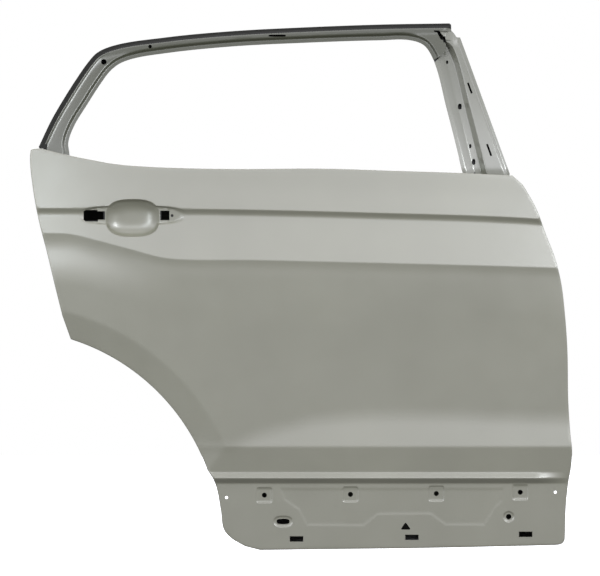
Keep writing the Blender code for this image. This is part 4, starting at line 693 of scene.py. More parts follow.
def rear_foot_edge():
    low = (REAR_FOOT_EDGE, REAR_FOOT_END)
    notch = (REAR_FOOT_EDGE, FOOT_NOTCH - FOOT_NOTCH_RAMP[1])
    return straight_through([low, notch, (REAR_FOOT_EDGE - FOOT_NOTCH_RAMP[0], FOOT_NOTCH)], FRAME_STEP)


def from_edges(x, z):
    """Distances from the frame's outer edge and from its opening's edge."""
    plan = np.column_stack([x, z])
    return distance_to(plan, frame_outer_path(), False), distance_to(plan, opening_edge(), False)


def box_path():
    """The line that the inner pressing's outer flange follows, which cuts the frame's front corner short."""
    front = front_edge()
    front = front[front[:, 1] < FRAME_BOX_CORNER[1][1] - FRAME_STEP / 2]
    return np.vstack([rear_foot_edge(), [ABOVE_NOTCH], outer_edge()[:-1], FRAME_BOX_CORNER, front])


def header_outline():
    return cut_away(ring_outline(), np.vstack([FRAME_JOINT, JOINT_TO_FRONT]))


def pillar_outline():
    joint = moved_sideways(np.array(FRAME_JOINT), FRAME_JOINT_GAP)
    return cut_away(ring_outline(), np.vstack([joint, JOINT_TO_REAR]))


def cut_away(path, region):
    """The part of a loop outside a region, closed along the region's edge."""
    joint = region[: len(FRAME_JOINT)]
    outside = ~inside(path, region)
    start = next(k for k in range(len(path)) if outside[k] and not outside[k - 1])
    order = [(start + k) % len(path) for k in range(len(path))]
    kept = [path[k] for k in order if outside[k]]
    trimmed = joint[depth_inside(joint, path) > FRAME_INNER_INSET / 2]
    if math.dist(kept[-1], trimmed[0]) > math.dist(kept[-1], trimmed[-1]):
        trimmed = trimmed[::-1]
    return np.vstack([kept, trimmed])


def slanted_slot(centre, length):
    """A slot that lies along the front pillar."""
    along = np.array(PILLAR_DIRECTION)
    side = np.array([-along[1], along[0]]) * PILLAR_SLOT_WIDTH / 2
    ends = [(-1, -1), (1, -1), (1, 1), (-1, 1)]
    return np.array([np.array(centre) + a * along * length / 2 + b * side for a, b in ends])


# Soft pressing

GRID_ORIGIN = Vector((HINGE_WALL + INNER_SHEET, HINGE_DEPTH, HINGE_UPPER))
CREASE_RADII = (
    0.012, 0.0011, 0.0048, 0.0014, 0.0110, 0.012, 0.025, 0.040, 0.018, 0.0028, 0.0016, 0.0016, 0.0016,
)
RIM_RADIUS_OF_BEND = 0.004
SKIN_COLUMNS = (0.046, 1.178, 0.0044)
SKIRT_TOP = 0.125
HANDLE_SPANS = ((0.12, 0.40), (0.62, 0.73))
HANDLE_PATCH = ((0.138, 0.628), (0.384, 0.722))
HANDLE_PATCH_STEP = 0.0024
BOWL_OVER_SEAT = 3.0
BOWL_FADE_POWER = 4
BOWL_FADE_ROUNDING = 0.05
SKIN_EDGE_STEP = 0.009
SHARP_ANGLE = math.radians(34)
POINT_TOLERANCE = 1e-6
HOLE_MARGIN = 0.001


def soft_hinge(t, radius):
    """Nothing below zero and t above it, with the corner rounded over a radius each way."""
    middle = (t + radius) ** 2 / (4 * radius)
    return np.where(t < -radius, 0.0, np.where(t > radius, t, middle))


def eased(t):
    """From 0 to 1 in a soft S, level at both ends."""
    t = np.clip(t, 0, 1)
    return t * t * (3 - 2 * t)


def soft_section(x, z):
    """Depth of the skin's section at x, with every crease rounded."""
    heights, depths = zip(*stations(x))
    runs = zip(heights[:-1], heights[1:], depths[:-1], depths[1:])
    slopes = [(lower - upper) / np.maximum(high - low, 1e-9) for high, low, upper, lower in runs]
    depth = depths[0] + slopes[0] * (heights[0] - z)
    for k, radius in enumerate(CREASE_RADII, 1):
        depth = depth + (slopes[k] - slopes[k - 1]) * soft_hinge(heights[k] - z, radius)
    return depth


def soft_skin_plain(x, z):
    """Depth of the skin without its handle seat, bowl and skirt shapes."""
    past_rim = (RIM_RADIUS - np.hypot(x, z)) * (x > 0)
    below_sill = np.maximum(SILL_CREASE - z, 0)
    rim = RIM_SLOPE * soft_hinge(past_rim - below_sill, RIM_RADIUS_OF_BEND)
    return soft_section(x, z) + rim + bow(x)


def with_handle(x, z, depth):
    """Depth with the flat handle seat and the bowl pressed in."""
    reach = superellipse_reach(x, z, SEAT_CENTRE, SEAT_HALF, SEAT_POWER)
    bowl = superellipse_reach(x, z, BOWL_CENTRE, BOWL_HALF, BOWL_POWER)
    share = np.minimum(soft_hinge(1 - bowl ** BOWL_FADE_POWER, BOWL_FADE_ROUNDING), 1)
    seat = np.maximum(eased((1 - reach) * SEAT_HALF[1] / SEAT_RAMP), eased(BOWL_OVER_SEAT * share))
    depth = depth + (seat_plane(x) - depth) * seat
    return depth + (seat_plane(x) + BOWL_DEPTH - depth) * share


def with_skirt(x, z, depth):
    """Depth with the skirt's pads, dimples and field pressed in."""
    plan = np.column_stack([x, z])
    for loop, width, step in skirt_loops():
        close = within_reach(plan, loop, width)
        depth[close] += step * eased(depth_inside(plan[close], loop) / width)
    return depth


def soft_skin(x, z):
    """Depth of the skin with all its pressed shapes."""
    depth = soft_skin_plain(x, z)
    near = between(x, HANDLE_SPANS[0]) & between(z, HANDLE_SPANS[1])
    depth[near] = with_handle(x[near], z[near], depth[near])
    low = z < SKIRT_TOP
    depth[low] = with_skirt(x[low], z[low], depth[low])
    return depth


def within_reach(points, line, gap):
    """Which points lie in a line's bounding box widened by a gap."""
    low, high = line.min(axis=0) - gap, line.max(axis=0) + gap
    return ((points > low) & (points < high)).all(axis=1)


def kept_clear(points, lines, closed, gap):
    """The points further from every line than a gap."""
    for line in lines:
        close = within_reach(points, line, gap)
        drop = np.zeros(len(points), bool)
        drop[close] = distance_to(points[close], line, closed) < gap
        points = points[~drop]
    return points


def in_hole(points, hole, margin=0.0):
    """Which points lie inside a hole, looking only at those near it."""
    close = within_reach(points, hole, margin)
    found = np.zeros(len(points), bool)
    found[close] = inside(points[close], hole)
    return found


def within_sheet(points, outline, holes, edge_gap, hole_gap):
    """The points inside an outline and outside its holes, clear of every edge."""
    points = points[inside(points, outline)]
    points = kept_clear(points, [outline], True, edge_gap)
    for hole in holes:
        points = kept_clear(points, [hole], True, hole_gap)
        points = points[~in_hole(points, hole)]
    return points


def square_grid(low, high, step):
    rows = np.arange(low[1], high[1], step)
    columns = np.arange(low[0], high[0], step)
    return np.array([(x, z) for z in rows for x in columns])


def lattice(columns, rows):
    return np.vstack([np.column_stack([columns, row]) for row in rows])


def triangulated(outline, holes, inner_points, lines=()):
    """Triangles over an outline less its holes, through the inner points and along the lines."""
    points, edges = [], []
    for line in [outline] + list(holes):
        first, count = len(points), len(line)
        points += [Vector(p) for p in line]
        edges += [(first + k, first + (k + 1) % count) for k in range(count)]
    for line in lines:
        edges += [(len(points) + k, len(points) + k + 1) for k in range(len(line) - 1)]
        points += [Vector(p) for p in line]
    points += [Vector(p) for p in inner_points]
    made = geometry.delaunay_2d_cdt(points, edges, [], 1, POINT_TOLERANCE)
    plan = np.array([tuple(v) for v in made[0]])
    faces = np.array([tuple(f) for f in made[2]])
    centres = plan[faces].mean(axis=1)
    kept = inside(centres, outline)
    for hole in holes:
        kept &= ~in_hole(centres, hole, HOLE_MARGIN)
    faces = faces[kept]
    a, b, c = (plan[faces[:, k]] for k in range(3))
    area = (b - a)[:, 0] * (c - a)[:, 1] - (b - a)[:, 1] * (c - a)[:, 0]
    faces[area < 0] = faces[area < 0][:, ::-1]
    return compact(plan, faces)


def new_object(name, data):
    obj = bpy.data.objects.new(name, data)
    bpy.context.scene.collection.objects.link(obj)
    return obj


def placed(name, mesh, look, node):
    """A mesh as a piece of the scene, in place of the node that it makes finer."""
    obj = new_object(name, mesh)
    mesh.materials.append(look)
    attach(obj, "root")
    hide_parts(node)
    return obj


def piece(name, points, faces, look, node):
    """A scene piece from grid coordinates, moved to the shared frame."""
    mesh = bpy.data.meshes.new(name)
    moved = np.asarray(points) - np.array(GRID_ORIGIN)
    mesh.from_pydata([tuple(map(float, p)) for p in moved], [], [tuple(map(int, f)) for f in faces])
    mesh.update()
    return placed(name, mesh, look, node)


def applied(obj):
    """The piece with its modifiers made part of its mesh."""
    graph = bpy.context.evaluated_depsgraph_get()
    mesh = bpy.data.meshes.new_from_object(obj.evaluated_get(graph))
    old = obj.data
    obj.modifiers.clear()
    obj.data = mesh
    bpy.data.meshes.remove(old)
    return obj


def smoothed(obj):
    """The piece shaded smooth, with its sharp edges kept sharp."""
    obj.data.polygons.foreach_set("use_smooth", [True] * len(obj.data.polygons))
    obj.data.set_sharp_from_angle(angle=SHARP_ANGLE)
    return obj


def thicken(obj, thickness, back_material=0):
    solid = obj.modifiers.new("sheet", "SOLIDIFY")
    solid.thickness = thickness
    solid.offset = -1.0
    solid.use_even_offset = False
    solid.material_offset = back_material


def sheet_of(obj, thickness, back_material=0):
    thicken(obj, thickness, back_material)
    return smoothed(applied(obj))


# Materials: each noise has a scale and a detail

CLOUD_NOISE = (5.0, 3.0)
PATCH_NOISE = (22.0, 4.0)
PEEL_NOISE = (900.0, 2.0)
NOISE_SPAN = (0.3, 0.7)
GLOSS_SPREAD = 0.08
PEEL_HEIGHT = 0.0005
COAT_ROUGHNESS = 0.22
COAT_IOR = 1.45


def node_material(name):
    made = bpy.data.materials.new(name)
    made.use_nodes = True
    nodes = made.node_tree.nodes
    return made, nodes, made.node_tree.links, nodes["Principled BSDF"]


def filled(node, inputs):
    """A shader node with its named inputs set."""
    for name, value in inputs.items():
        node.inputs[name].default_value = value
    return node


def noise(nodes, links, scale, detail):
    where = nodes.new("ShaderNodeTexCoord")
    made = filled(nodes.new("ShaderNodeTexNoise"), {"Scale": scale, "Detail": detail})
    links.new(where.outputs["Object"], made.inputs["Vector"])
    return made.outputs["Fac"]


def ramped(nodes, links, source, low, high):
    """The middle of a noise stretched to run from low to high."""
    span = {"From Min": NOISE_SPAN[0], "From Max": NOISE_SPAN[1], "To Min": low, "To Max": high}
    made = filled(nodes.new("ShaderNodeMapRange"), span)
    links.new(source, made.inputs["Value"])
    return made.outputs["Result"]


def paint(name, colour, roughness, metallic, coat, gloss=1.5, variation=0.05, peel=0.02):
    """Dipped primer: faint cloudy colour, fine orange peel and patchy gloss."""
    made, nodes, links, shader = node_material(name)
    filled(shader, {"Metallic": metallic, "IOR": gloss, "Coat Weight": coat})
    filled(shader, {"Coat Roughness": COAT_ROUGHNESS, "Coat IOR": COAT_IOR})
    mix = nodes.new("ShaderNodeMix")
    mix.data_type = "RGBA"
    for end, share in (("A", 1 - variation), ("B", 1 + variation)):
        mix.inputs[end].default_value = (*[c * share for c in colour], 1)
    clouds = noise(nodes, links, *CLOUD_NOISE)
    links.new(ramped(nodes, links, clouds, 0, 1), mix.inputs["Factor"])
    links.new(mix.outputs["Result"], shader.inputs["Base Color"])
    patches = noise(nodes, links, *PATCH_NOISE)
    dull, shiny = roughness * (1 + GLOSS_SPREAD), roughness * (1 - GLOSS_SPREAD)
    links.new(ramped(nodes, links, patches, shiny, dull), shader.inputs["Roughness"])
    bump = filled(nodes.new("ShaderNodeBump"), {"Strength": peel, "Distance": PEEL_HEIGHT})
    links.new(noise(nodes, links, *PEEL_NOISE), bump.inputs["Height"])
    links.new(bump.outputs["Normal"], shader.inputs["Normal"])
    return made


skin_paint = paint("satin_primer", (0.252, 0.249, 0.188), 0.34, 0.05, 0.3, 2.0)
# Frame primer: a darker, glossier e-coat, darkened further as painted shade on the header's face.
frame_primer_and_shade = paint("frame_primer_with_painted_shade", (0.080, 0.083, 0.055), 0.30, 0.10, 0.3, 1.85)
pillar_paint = paint("pillar_primer_paint", (0.215, 0.218, 0.172), 0.24, 0.10, 0.3, 2.1)
# Near-black painted shade on the header's outer edge band, where the flange faces up and out into shade.
band_shade_paint = paint("frame_edge_painted_shade", (0.013, 0.013, 0.010), 0.5, 0.0, 0.0, 1.3)
# Near-black painted shade for hidden faces inside the shell, seen through holes and gaps as dark cavities.
cavity_shade_paint = paint("cavity_painted_shade", (0.016, 0.016, 0.014), 0.6, 0.0, 0.0)
steel_paint = paint("zinc_steel", (0.46, 0.47, 0.47), 0.38, 0.9, 0.0)
mastic_paint = paint("mastic_black", (0.03, 0.03, 0.03), 0.8, 0.0, 0.0, 1.5, 0.2, 0.3)


# Outer skin: rows of its mesh from the shoulder, the waist and the wheel's centre, and rings round its shapes

SHOULDER_ROWS = (
    *np.arange(0.156, 0.005, -0.006), 0.0036, 0.0022, 0.0011, 0.0, -0.0011, -0.0022, -0.0045,
    -0.0064, -0.0082, -0.0100, -0.0118, -0.0140,
)
# From a distance off the shoulder to a distance off the waist, then how many
UNDERCUT_ROWS = (-0.0170, 0.0080, 14)
WAIST_ROWS = (
    0.0050, 0.0030, 0.0014, 0.0, -0.0014, -0.0030, -0.0055, -0.0085, -0.0120, -0.0155,
    *np.arange(-0.0200, -0.0810, -0.0060),
)
# From a distance off the waist to the panel's middle, then how many
PANEL_ROWS = (-0.0860, 24)
FOOT_ROWS = (
    *np.arange(0.394, 0.2060, -0.0060), 0.2035, 0.2012, 0.1995, 0.1978, 0.1955,
    *np.arange(0.1905, 0.1515, -0.0055),
    0.1500, 0.1482, 0.1472, 0.1464, 0.1456, 0.1444, 0.1420, 0.1390, 0.1366, 0.1350, 0.1340, 0.1330, 0.1312,
    0.1286, 0.1262, 0.1248, 0.1236, 0.1224, 0.1208, *np.arange(0.1182, -0.0150, -0.0032),
)
SEAT_RINGS = (1.03, 1.0, 0.96, 0.92, 0.88)
SEAT_RING_SPREAD = 0.03
BOWL_RINGS = (1.03, 1.012, 1.0, 0.985, 0.965, 0.94)
HANDLE_RING_POINTS = 110
HANDLE_RING_STEP = 0.0022
SKIRT_RING_STEP = 0.0030
SKIRT_RING_OUTSIDE = -0.0008
SKIRT_RINGS = (0, 0.33, 0.67, 1)
RIM_ARC_DEG = (ARCH_START_DEG - 2, ARCH_END_DEG + 16, 0.5)
RIM_ROWS = (-0.005, -0.0025, 0, 0.0025, 0.005)
RIM_ROWS_FOOT = SILL_CREASE + 0.004
RIM_CLEARANCE = 0.0016
SKIRT_CLEARANCE = 0.0012
HANDLE_CLEARANCE = 0.0011
SKIN_EDGE_CLEARANCE = 0.0022
SKIN_HOLE_CLEARANCE = 0.0007
SKIN_POINT_GAP = 0.0006
FEW_POINTS = 14
HOLE_SIDE = 0.004
# Hem: angles round its fold, shares of its flat return, and where the return follows the shoulder's line
FOLD_ANGLES = (30, 60, 90, 120, 150, 180)
RETURN_SHARES = (0.5, 1.0)
LEVEL_RETURN = 0.7
FOLLOW_START = 0.5
FOLLOW_REACH = 0.1
NARROWED = 0.5


def skin_rows(x):
    """Heights of the mesh rows over each column, close together at every crease."""
    shoulder, waist = shoulder_height(x), waist_height(x)
    rows = [shoulder + d for d in SHOULDER_ROWS]
    high, low = shoulder + UNDERCUT_ROWS[0], waist + UNDERCUT_ROWS[1]
    rows += [high + (low - high) * t for t in np.linspace(0, 1, UNDERCUT_ROWS[2])]
    rows += [waist + d for d in WAIST_ROWS]
    high = waist + PANEL_ROWS[0]
    rows += [high + (PANEL_MIDDLE - high) * t for t in np.linspace(0, 1, PANEL_ROWS[1])]
    return rows + [np.full_like(x, z) for z in FOOT_ROWS]


def handle_rings():
    """Loops round the handle seat and the bowl, close together at their edges."""
    halves = [(SEAT_HALF[0] + (s - 1) * SEAT_RING_SPREAD, SEAT_HALF[1] * s) for s in SEAT_RINGS]
    rings = [superellipse(SEAT_CENTRE, half, SEAT_POWER, HANDLE_RING_POINTS) for half in halves]
    rings += [superellipse(BOWL_CENTRE, BOWL_HALF, BOWL_POWER, HANDLE_RING_POINTS, s) for s in BOWL_RINGS]
    return [refined(ring, HANDLE_RING_STEP) for ring in rings]


def skirt_rings():
    """Loops across the ramp of each pressed shape of the skirt."""
    rings = []
    for loop, width, _ in skirt_loops():
        fine = refined(loop, SKIRT_RING_STEP)
        offsets = [SKIRT_RING_OUTSIDE] + [width * share for share in SKIRT_RINGS]
        rings += [inset(fine, d) if d else fine for d in offsets]
    return rings


def skin_points(outline, holes):
    """The inner points of the skin's mesh."""
    columns = np.arange(*SKIN_COLUMNS)
    points = lattice(columns, skin_rows(columns))
    points = points[inside(points, outline)]
    points = points[~within_reach(points, np.array(HANDLE_PATCH), 0.0)]
    arcs = [arc(RIM_RADIUS + d, np.arange(*RIM_ARC_DEG)) for d in RIM_ROWS]
    arcs = [a[a[:, 1] > RIM_ROWS_FOOT] for a in arcs]
    skirt, handle = skirt_rings(), handle_rings()
    points = kept_clear(points, arcs, False, RIM_CLEARANCE)
    points = kept_clear(points, skirt, True, SKIRT_CLEARANCE)
    patch = kept_clear(square_grid(*HANDLE_PATCH, HANDLE_PATCH_STEP), handle, True, HANDLE_CLEARANCE)
    rings = [spread(handle, SKIN_POINT_GAP), spread(skirt, SKIN_POINT_GAP)]
    points = np.vstack([points, patch] + arcs + rings)
    return within_sheet(points, outline, holes, SKIN_EDGE_CLEARANCE, SKIN_HOLE_CLEARANCE)


def spread(lines, gap):
    """The points of several lines, less those that fall on a point already taken."""
    taken, kept = set(), []
    for line in lines:
        for p in line:
            key = (round(p[0] / gap), round(p[1] / gap))
            if key not in taken:
                taken.add(key)
                kept.append(p)
    return np.array(kept)


def circles(places, radius, count):
    return [circle(place, radius, count) for place in places]


def skin_holes():
    holes = [np.array(LATCH_WINDOW), np.array(PIVOT_WINDOW)]
    holes += circles([HANDLE_PIN_HOLE], HANDLE_PIN_RADIUS, PIN_POINTS)
    holes += circles(PAD_PLACES, PAD_HOLE_RADIUS, HOLE_POINTS)
    holes += circles(CLIP_HOLES, CLIP_HOLE_RADIUS, PIN_POINTS)
    holes += [rectangle(p, DRAIN_SLOT_SIZE) for p in DRAIN_SLOTS]
    holes.append(superellipse(OVAL_HOLE, OVAL_HALF, OVAL_POWER, OVAL_POINTS))
    holes += circles([ROUND_HOLE], ROUND_HOLE_RADIUS, HOLE_POINTS)
    holes.append(np.array(TRIANGLE_HOLE))
    return [refined(h, HOLE_SIDE) if len(h) < FEW_POINTS else h for h in holes]


def hem_rows(points, boundary):
    """The edge folded right round in a half circle, then the flat return; rows in order from the face."""
    base = points[boundary]
    plan = base[:, [0, 2]]
    outward = inset(plan, -1.0) - plan
    outward /= np.maximum(np.linalg.norm(outward, axis=1), 1.0)[:, None]
    rows = []
    for angle in np.radians(FOLD_ANGLES):
        x, z = (plan + outward * HEM_FOLD * math.sin(angle)).T
        rows.append(np.column_stack([x, base[:, 1] + HEM_FOLD * (1 - math.cos(angle)), z]))
    inner = inset(plan, HEM_RETURN)
    level = np.abs(inner - plan)[:, 0] > HEM_RETURN * LEVEL_RETURN
    follow = shoulder_height(inner[:, 0]) - shoulder_height(plan[:, 0])
    inner[level, 1] = (plan[:, 1] + follow * ramp((plan[:, 1] - FOLLOW_START) / FOLLOW_REACH))[level]
    for share in RETURN_SHARES:
        x, z = (plan + (inner - plan) * share).T
        rows.append(np.column_stack([x, soft_skin_plain(x, z) + HEM_STACK, z]))
    return rows, plan, inner


def folded_edge(points, faces, boundary):
    """The sheet with its folded edge; the flat return is left open at notches and where it would pinch."""
    rows, plan, inner = hem_rows(points, boundary)
    count = len(boundary)
    sides = np.roll(plan, -1, axis=0) - plan
    inner_sides = np.roll(inner, -1, axis=0) - inner
    share = (sides * inner_sides).sum(axis=1) / (sides ** 2).sum(axis=1)
    notched = np.zeros(count, bool)
    for low, high in HEM_NOTCHES:
        notched |= ((plan > low) & (plan < high)).all(axis=1)
    polygons = [tuple(map(int, f)) for f in faces]
    last, at = [int(v) for v in boundary], len(points)
    for number, row in enumerate(rows):
        new = list(range(at, at + count))
        for k in range(count):
            after = (k + 1) % count
            open_here = share[k] < NARROWED or notched[k] and notched[after]
            if number < len(FOLD_ANGLES) or not open_here:
                polygons.append((last[after], last[k], new[k], new[after]))
        last, at = new, at + count
    used = sorted({v for f in polygons for v in f})
    places = {v: k for k, v in enumerate(used)}
    return np.vstack([points, *rows])[used], [tuple(places[v] for v in f) for f in polygons]


def door_skin():
    outline = inset(skin_outline(SKIN_EDGE_STEP), HEM_FOLD)
    holes = skin_holes()
    plan, faces = triangulated(outline, holes, skin_points(outline, holes))
    x, z = plan.T
    points = np.column_stack([x, soft_skin(x, z), z])
    points, polygons = folded_edge(points, faces, outer_boundary(plan, faces))
    return sheet_of(piece("door_skin", points, polygons, skin_paint, "outer_skin"), SKIN_SHEET)


# Window frame: rows of points beside each edge, and the soft shape

FRAME_FINE_STEP = 0.005
FRAME_CLEARANCE = 0.0008
# A row's points are kept where they are truly its distance from its edge, and nearer to it than to the other
ROW_ERROR = 0.0007
NEARER_BY = 0.0005
FOOT_MARGIN = 0.003
FOOT_TOP = FOOT_NOTCH - 0.012
FLOOR_RISE = 0.0001
RING_ROUNDING = 0.0008
PILLAR_FACE_END = 0.0195
RING_CORNER = 0.93
RING_CORNER_CLEARANCE = 0.022
ROUNDING = 0.0013
HEADER_OUTER = (
    0.0012, 0.003, 0.0047, 0.0056, 0.0065, 0.0073, 0.0080, 0.0087, 0.0093, 0.0100, 0.0107, 0.0114, 0.0123,
    0.0135, 0.0155, 0.0180, 0.0210, 0.0235,
)
HEADER_OPENING = (
    0.0015, 0.004, 0.0065, 0.0075, 0.0085, 0.0096, 0.0107, 0.0117, 0.0127, 0.0140, 0.0160, 0.0185, 0.0215,
)
PILLAR_OPENING = (
    0.0015, 0.004, 0.0065, 0.0075, 0.0085, 0.0100, 0.0130, 0.0165, 0.0200, 0.0228, 0.0240, 0.0252, 0.0280,
    0.0320, 0.0360, 0.0373, 0.0380, 0.0388, 0.0410, 0.0445, 0.0468, 0.0480, 0.0492, 0.0515, 0.0550, 0.0590,
    0.0630, 0.0680, 0.0730, 0.0780, 0.0830, 0.0880,
)
PILLAR_OUTER = (0.0012, 0.003, 0.0050, 0.0060, 0.0070, 0.0085, 0.0095, 0.0105, 0.0120, 0.0150, 0.0180)
HEADER_BAND_END = 0.0097
BAND_LOW_END = (0.905, 1.069)
SMALL_HEADER_HOLE = (0.2963, 1.0322)
SMALL_HEADER_RADIUS = 0.0038
RING_WALLS = (0.002, 0.005, 0.0058, 0.0066, 0.0080, 0.0094, 0.0102, 0.0110, 0.0135, 0.0170)
VALLEY = ((0.0105, 0.0), (0.0130, 0.0016), (0.0175, 0.0016), (0.0200, 0.0))
VALLEY_END = (0.215, 0.170)
CHANNEL_ENDS = (1.030, 1.056)
JOINT_GAP = [
    (0.8880, 1.0660), (0.8985, 1.0660), (0.9030, 1.0592), (0.9075, 1.0538), (0.9108, 1.0538),
    (0.9131, 1.0413), (0.9078, 1.0402), (0.9065, 1.0462), (0.9018, 1.0468), (0.8978, 1.0545),
    (0.8942, 1.0622), (0.8880, 1.0626),
]
JOINT_GAP_CUT = ("y", (0.0, 0.150, 0.0), JOINT_GAP, 0.100)


def soft_profile(d, corners, radius=ROUNDING):
    """A profile through its corners, level before the first and after the last, with every corner rounded."""
    value = np.full_like(d, corners[0][1])
    slope = 0.0
    for (x1, y1), (x2, y2) in zip(corners[:-1], corners[1:]):
        following = (y2 - y1) / (x2 - x1)
        value = value + (following - slope) * soft_hinge(d - x1, radius)
        slope = following
    return value - slope * soft_hinge(d - corners[-1][0], radius)


def soft_header(x, z):
    outer, opening = from_edges(x, z)
    face = soft_profile(outer, [(OUTER_BAND, OUTER_BAND_STEP), (OUTER_CREASE, 0.0),
                                (OUTER_CREASE + FACE_FALL_WIDTH, FACE_FALL)])
    face = face + soft_profile(outer, VALLEY) * ramp((VALLEY_END[0] - x) / (VALLEY_END[0] - VALLEY_END[1]))
    step = soft_profile(opening, [(OPENING_FLANGE, 1.0), (OPENING_STEP_START, 0.0)])
    return frame_lean(z) + face + (OPENING_FLANGE_STEP - face) * step


def soft_pillar(x, z):
    outer, opening = from_edges(x, z)
    channel = [(OPENING_FLANGE, OPENING_FLANGE_STEP), (CHANNEL_SLOPE_END, CHANNEL_FLOOR_STEP),
               (CHANNEL_FLOOR_END, CHANNEL_FLOOR_STEP + FLOOR_RISE), (CHANNEL_WALL_END, 0.0)]
    inner = soft_profile(opening, channel)
    edge = soft_profile(outer, [(OUTER_BAND, OUTER_BAND_STEP), (OUTER_CREASE, 0.0)])
    ceiling = OUTER_BAND_STEP + CHANNEL_RISE * np.maximum(outer - OUTER_BAND, 0)
    share = eased((CHANNEL_ENDS[1] - z) / (CHANNEL_ENDS[1] - CHANNEL_ENDS[0]))
    inner = FACE_FALL + (inner - FACE_FALL) * share
    return frame_lean(z) + np.maximum(np.minimum(inner, ceiling), edge)


def soft_ring(x, z):
    opening = from_edges(x, z)[1]
    plan = np.column_stack([x, z])
    outer = distance_to(plan, box_path(), False)
    outside = depth_inside(plan, np.vstack([box_path(), opening_edge()[::-1]])) < 0
    outer = np.where(outside, 0, outer)
    flange = np.where(outer < opening, OUTER_BAND_STEP, OPENING_FLANGE_STEP) + FRAME_SHEET + FRAME_SEAT
    nearest = np.minimum(outer - OUTER_BAND, opening - OPENING_FLANGE)
    rise = soft_profile(nearest, [(0.0, 0.0), (FRAME_BOX_WALL, 1.0)], RING_ROUNDING)
    return frame_lean(z) + flange + (FRAME_BOX_DEPTH - flange) * rise


def along(line, step):
    """Points a step apart along a polyline."""
    lengths = np.concatenate([[0], np.cumsum(np.linalg.norm(np.diff(line, axis=0), axis=1))])
    at = np.linspace(0, lengths[-1], max(2, round(lengths[-1] / step)))
    return np.column_stack([np.interp(at, lengths, line[:, 0]), np.interp(at, lengths, line[:, 1])])


def runs_kept(line, kept):
    """The stretches of a line whose points are kept, two points or more each."""
    runs, run = [], []
    for point, keep in zip(line, kept):
        if keep:
            run.append(point)
            continue
        if len(run) > 1:
            runs.append(np.array(run))
        run = []
    return runs + ([np.array(run)] if len(run) > 1 else [])


def family(line, offsets, side, own):
    """Lines beside an edge of the frame, kept where it is the nearer edge."""
    made = []
    for d in offsets:
        row = along(moved_sideways(line, side * d), FRAME_FINE_STEP)
        outer, opening = from_edges(*row.T)
        distance, other = (outer, opening) if own == "outer" else (opening, outer)
        kept = np.abs(distance - d) < ROW_ERROR
        if own != "any":
            kept &= other - distance > NEARER_BY
        made += runs_kept(row, kept)
    return made


def clipped(lines, test):
    return [run for line in lines for run in runs_kept(line, test(line))]


def above_foot(line):
    return line[:, 1] > FOOT_TOP


def foot_lines():
    """Level rows of points over the frame's rear foot."""
    levels = np.arange(REAR_FOOT_END + FOOT_MARGIN, FOOT_TOP, FRAME_STEP)
    x = np.arange(REAR_FOOT_EDGE + FOOT_MARGIN, OPENING_EDGE[0][0], FRAME_FINE_STEP)
    return [np.column_stack([x, np.full_like(x, z)]) for z in levels]


def front_rows(offsets):
    """Lines beside the front edge of the frame's front pillar."""
    return [along(moved_sideways(front_edge()[1:], -d), FRAME_FINE_STEP) for d in offsets]


def frame_sheet(name, outline, holes, lines, depth, looks, node):
    """A pressing of the frame, meshed along the given lines."""
    outline = refined(outline, FRAME_FINE_STEP)

    def clear(line):
        kept = inside(line, outline) & (distance_to(line, outline, True) > FRAME_CLEARANCE)
        for hole in holes:
            kept &= ~inside(line, hole) & (distance_to(line, hole, True) > FRAME_CLEARANCE)
        return kept

    plan, faces = triangulated(outline, holes, [], clipped(lines, clear))
    x, z = plan.T
    obj = piece(name, np.column_stack([x, depth(x, z), z]), faces, looks[0], node)
    for other in looks[1:]:
        obj.data.materials.append(other)
    return obj


def dark_band(obj):
    """Gives the faces of the outermost band the near-black painted shade."""
    mesh = obj.data
    centres = np.zeros(len(mesh.polygons) * 3)
    mesh.polygons.foreach_get("center", centres)
    centres = centres.reshape(-1, 3) + np.array(GRID_ORIGIN)
    outer = from_edges(centres[:, 0], centres[:, 2])[0]
    band = (outer < HEADER_BAND_END) & (centres[:, 2] > FOOT_NOTCH)
    band &= (centres[:, 0] < BAND_LOW_END[0]) | (centres[:, 2] > BAND_LOW_END[1])
    mesh.polygons.foreach_set("material_index", band.astype(np.int32))


def window_header():
    lines = family(outer_edge(), HEADER_OUTER, -1, "outer")
    lines += family(opening_edge(), HEADER_OPENING, 1, "opening")
    lines = clipped(lines, above_foot) + foot_lines()
    holes = [circle(HEADER_HOLE, HEADER_HOLE_RADIUS, BOLT_POINTS),
             superellipse(HEADER_SLOT, HEADER_SLOT_HALF, HEADER_SLOT_POWER, OVAL_POINTS),
             circle(SMALL_HEADER_HOLE, SMALL_HEADER_RADIUS, SMALL_HEADER_POINTS)]
    # The header's primer with painted shade, and the near-black painted shade for its outer band.
    looks = (frame_primer_and_shade, band_shade_paint)
    obj = frame_sheet("window_header", header_outline(), holes, lines, soft_header, looks, "frame_header")
    dark_band(obj)
    return smoothed(cut_out(sheet_of(obj, FRAME_SHEET), [JOINT_GAP_CUT]))


def window_front_pillar():
    lines = family(opening_edge(), PILLAR_OPENING, 1, "any")
    lines = clipped(lines, lambda line: from_edges(*line.T)[0] > PILLAR_FACE_END) + front_rows(PILLAR_OUTER)
    holes = [superellipse(centre, half, PILLAR_HOLE_POWER, HOLE_POINTS) for centre, half in PILLAR_HOLES]
    holes += [refined(slanted_slot(centre, length), PILLAR_SLOT_SIDE) for centre, length in PILLAR_SLOTS]
    obj = frame_sheet("window_front_pillar", pillar_outline(), holes, lines, soft_pillar, (pillar_paint,),
                      "frame_front_pillar")
    return smoothed(cut_out(sheet_of(obj, FRAME_SHEET), [JOINT_GAP_CUT]))


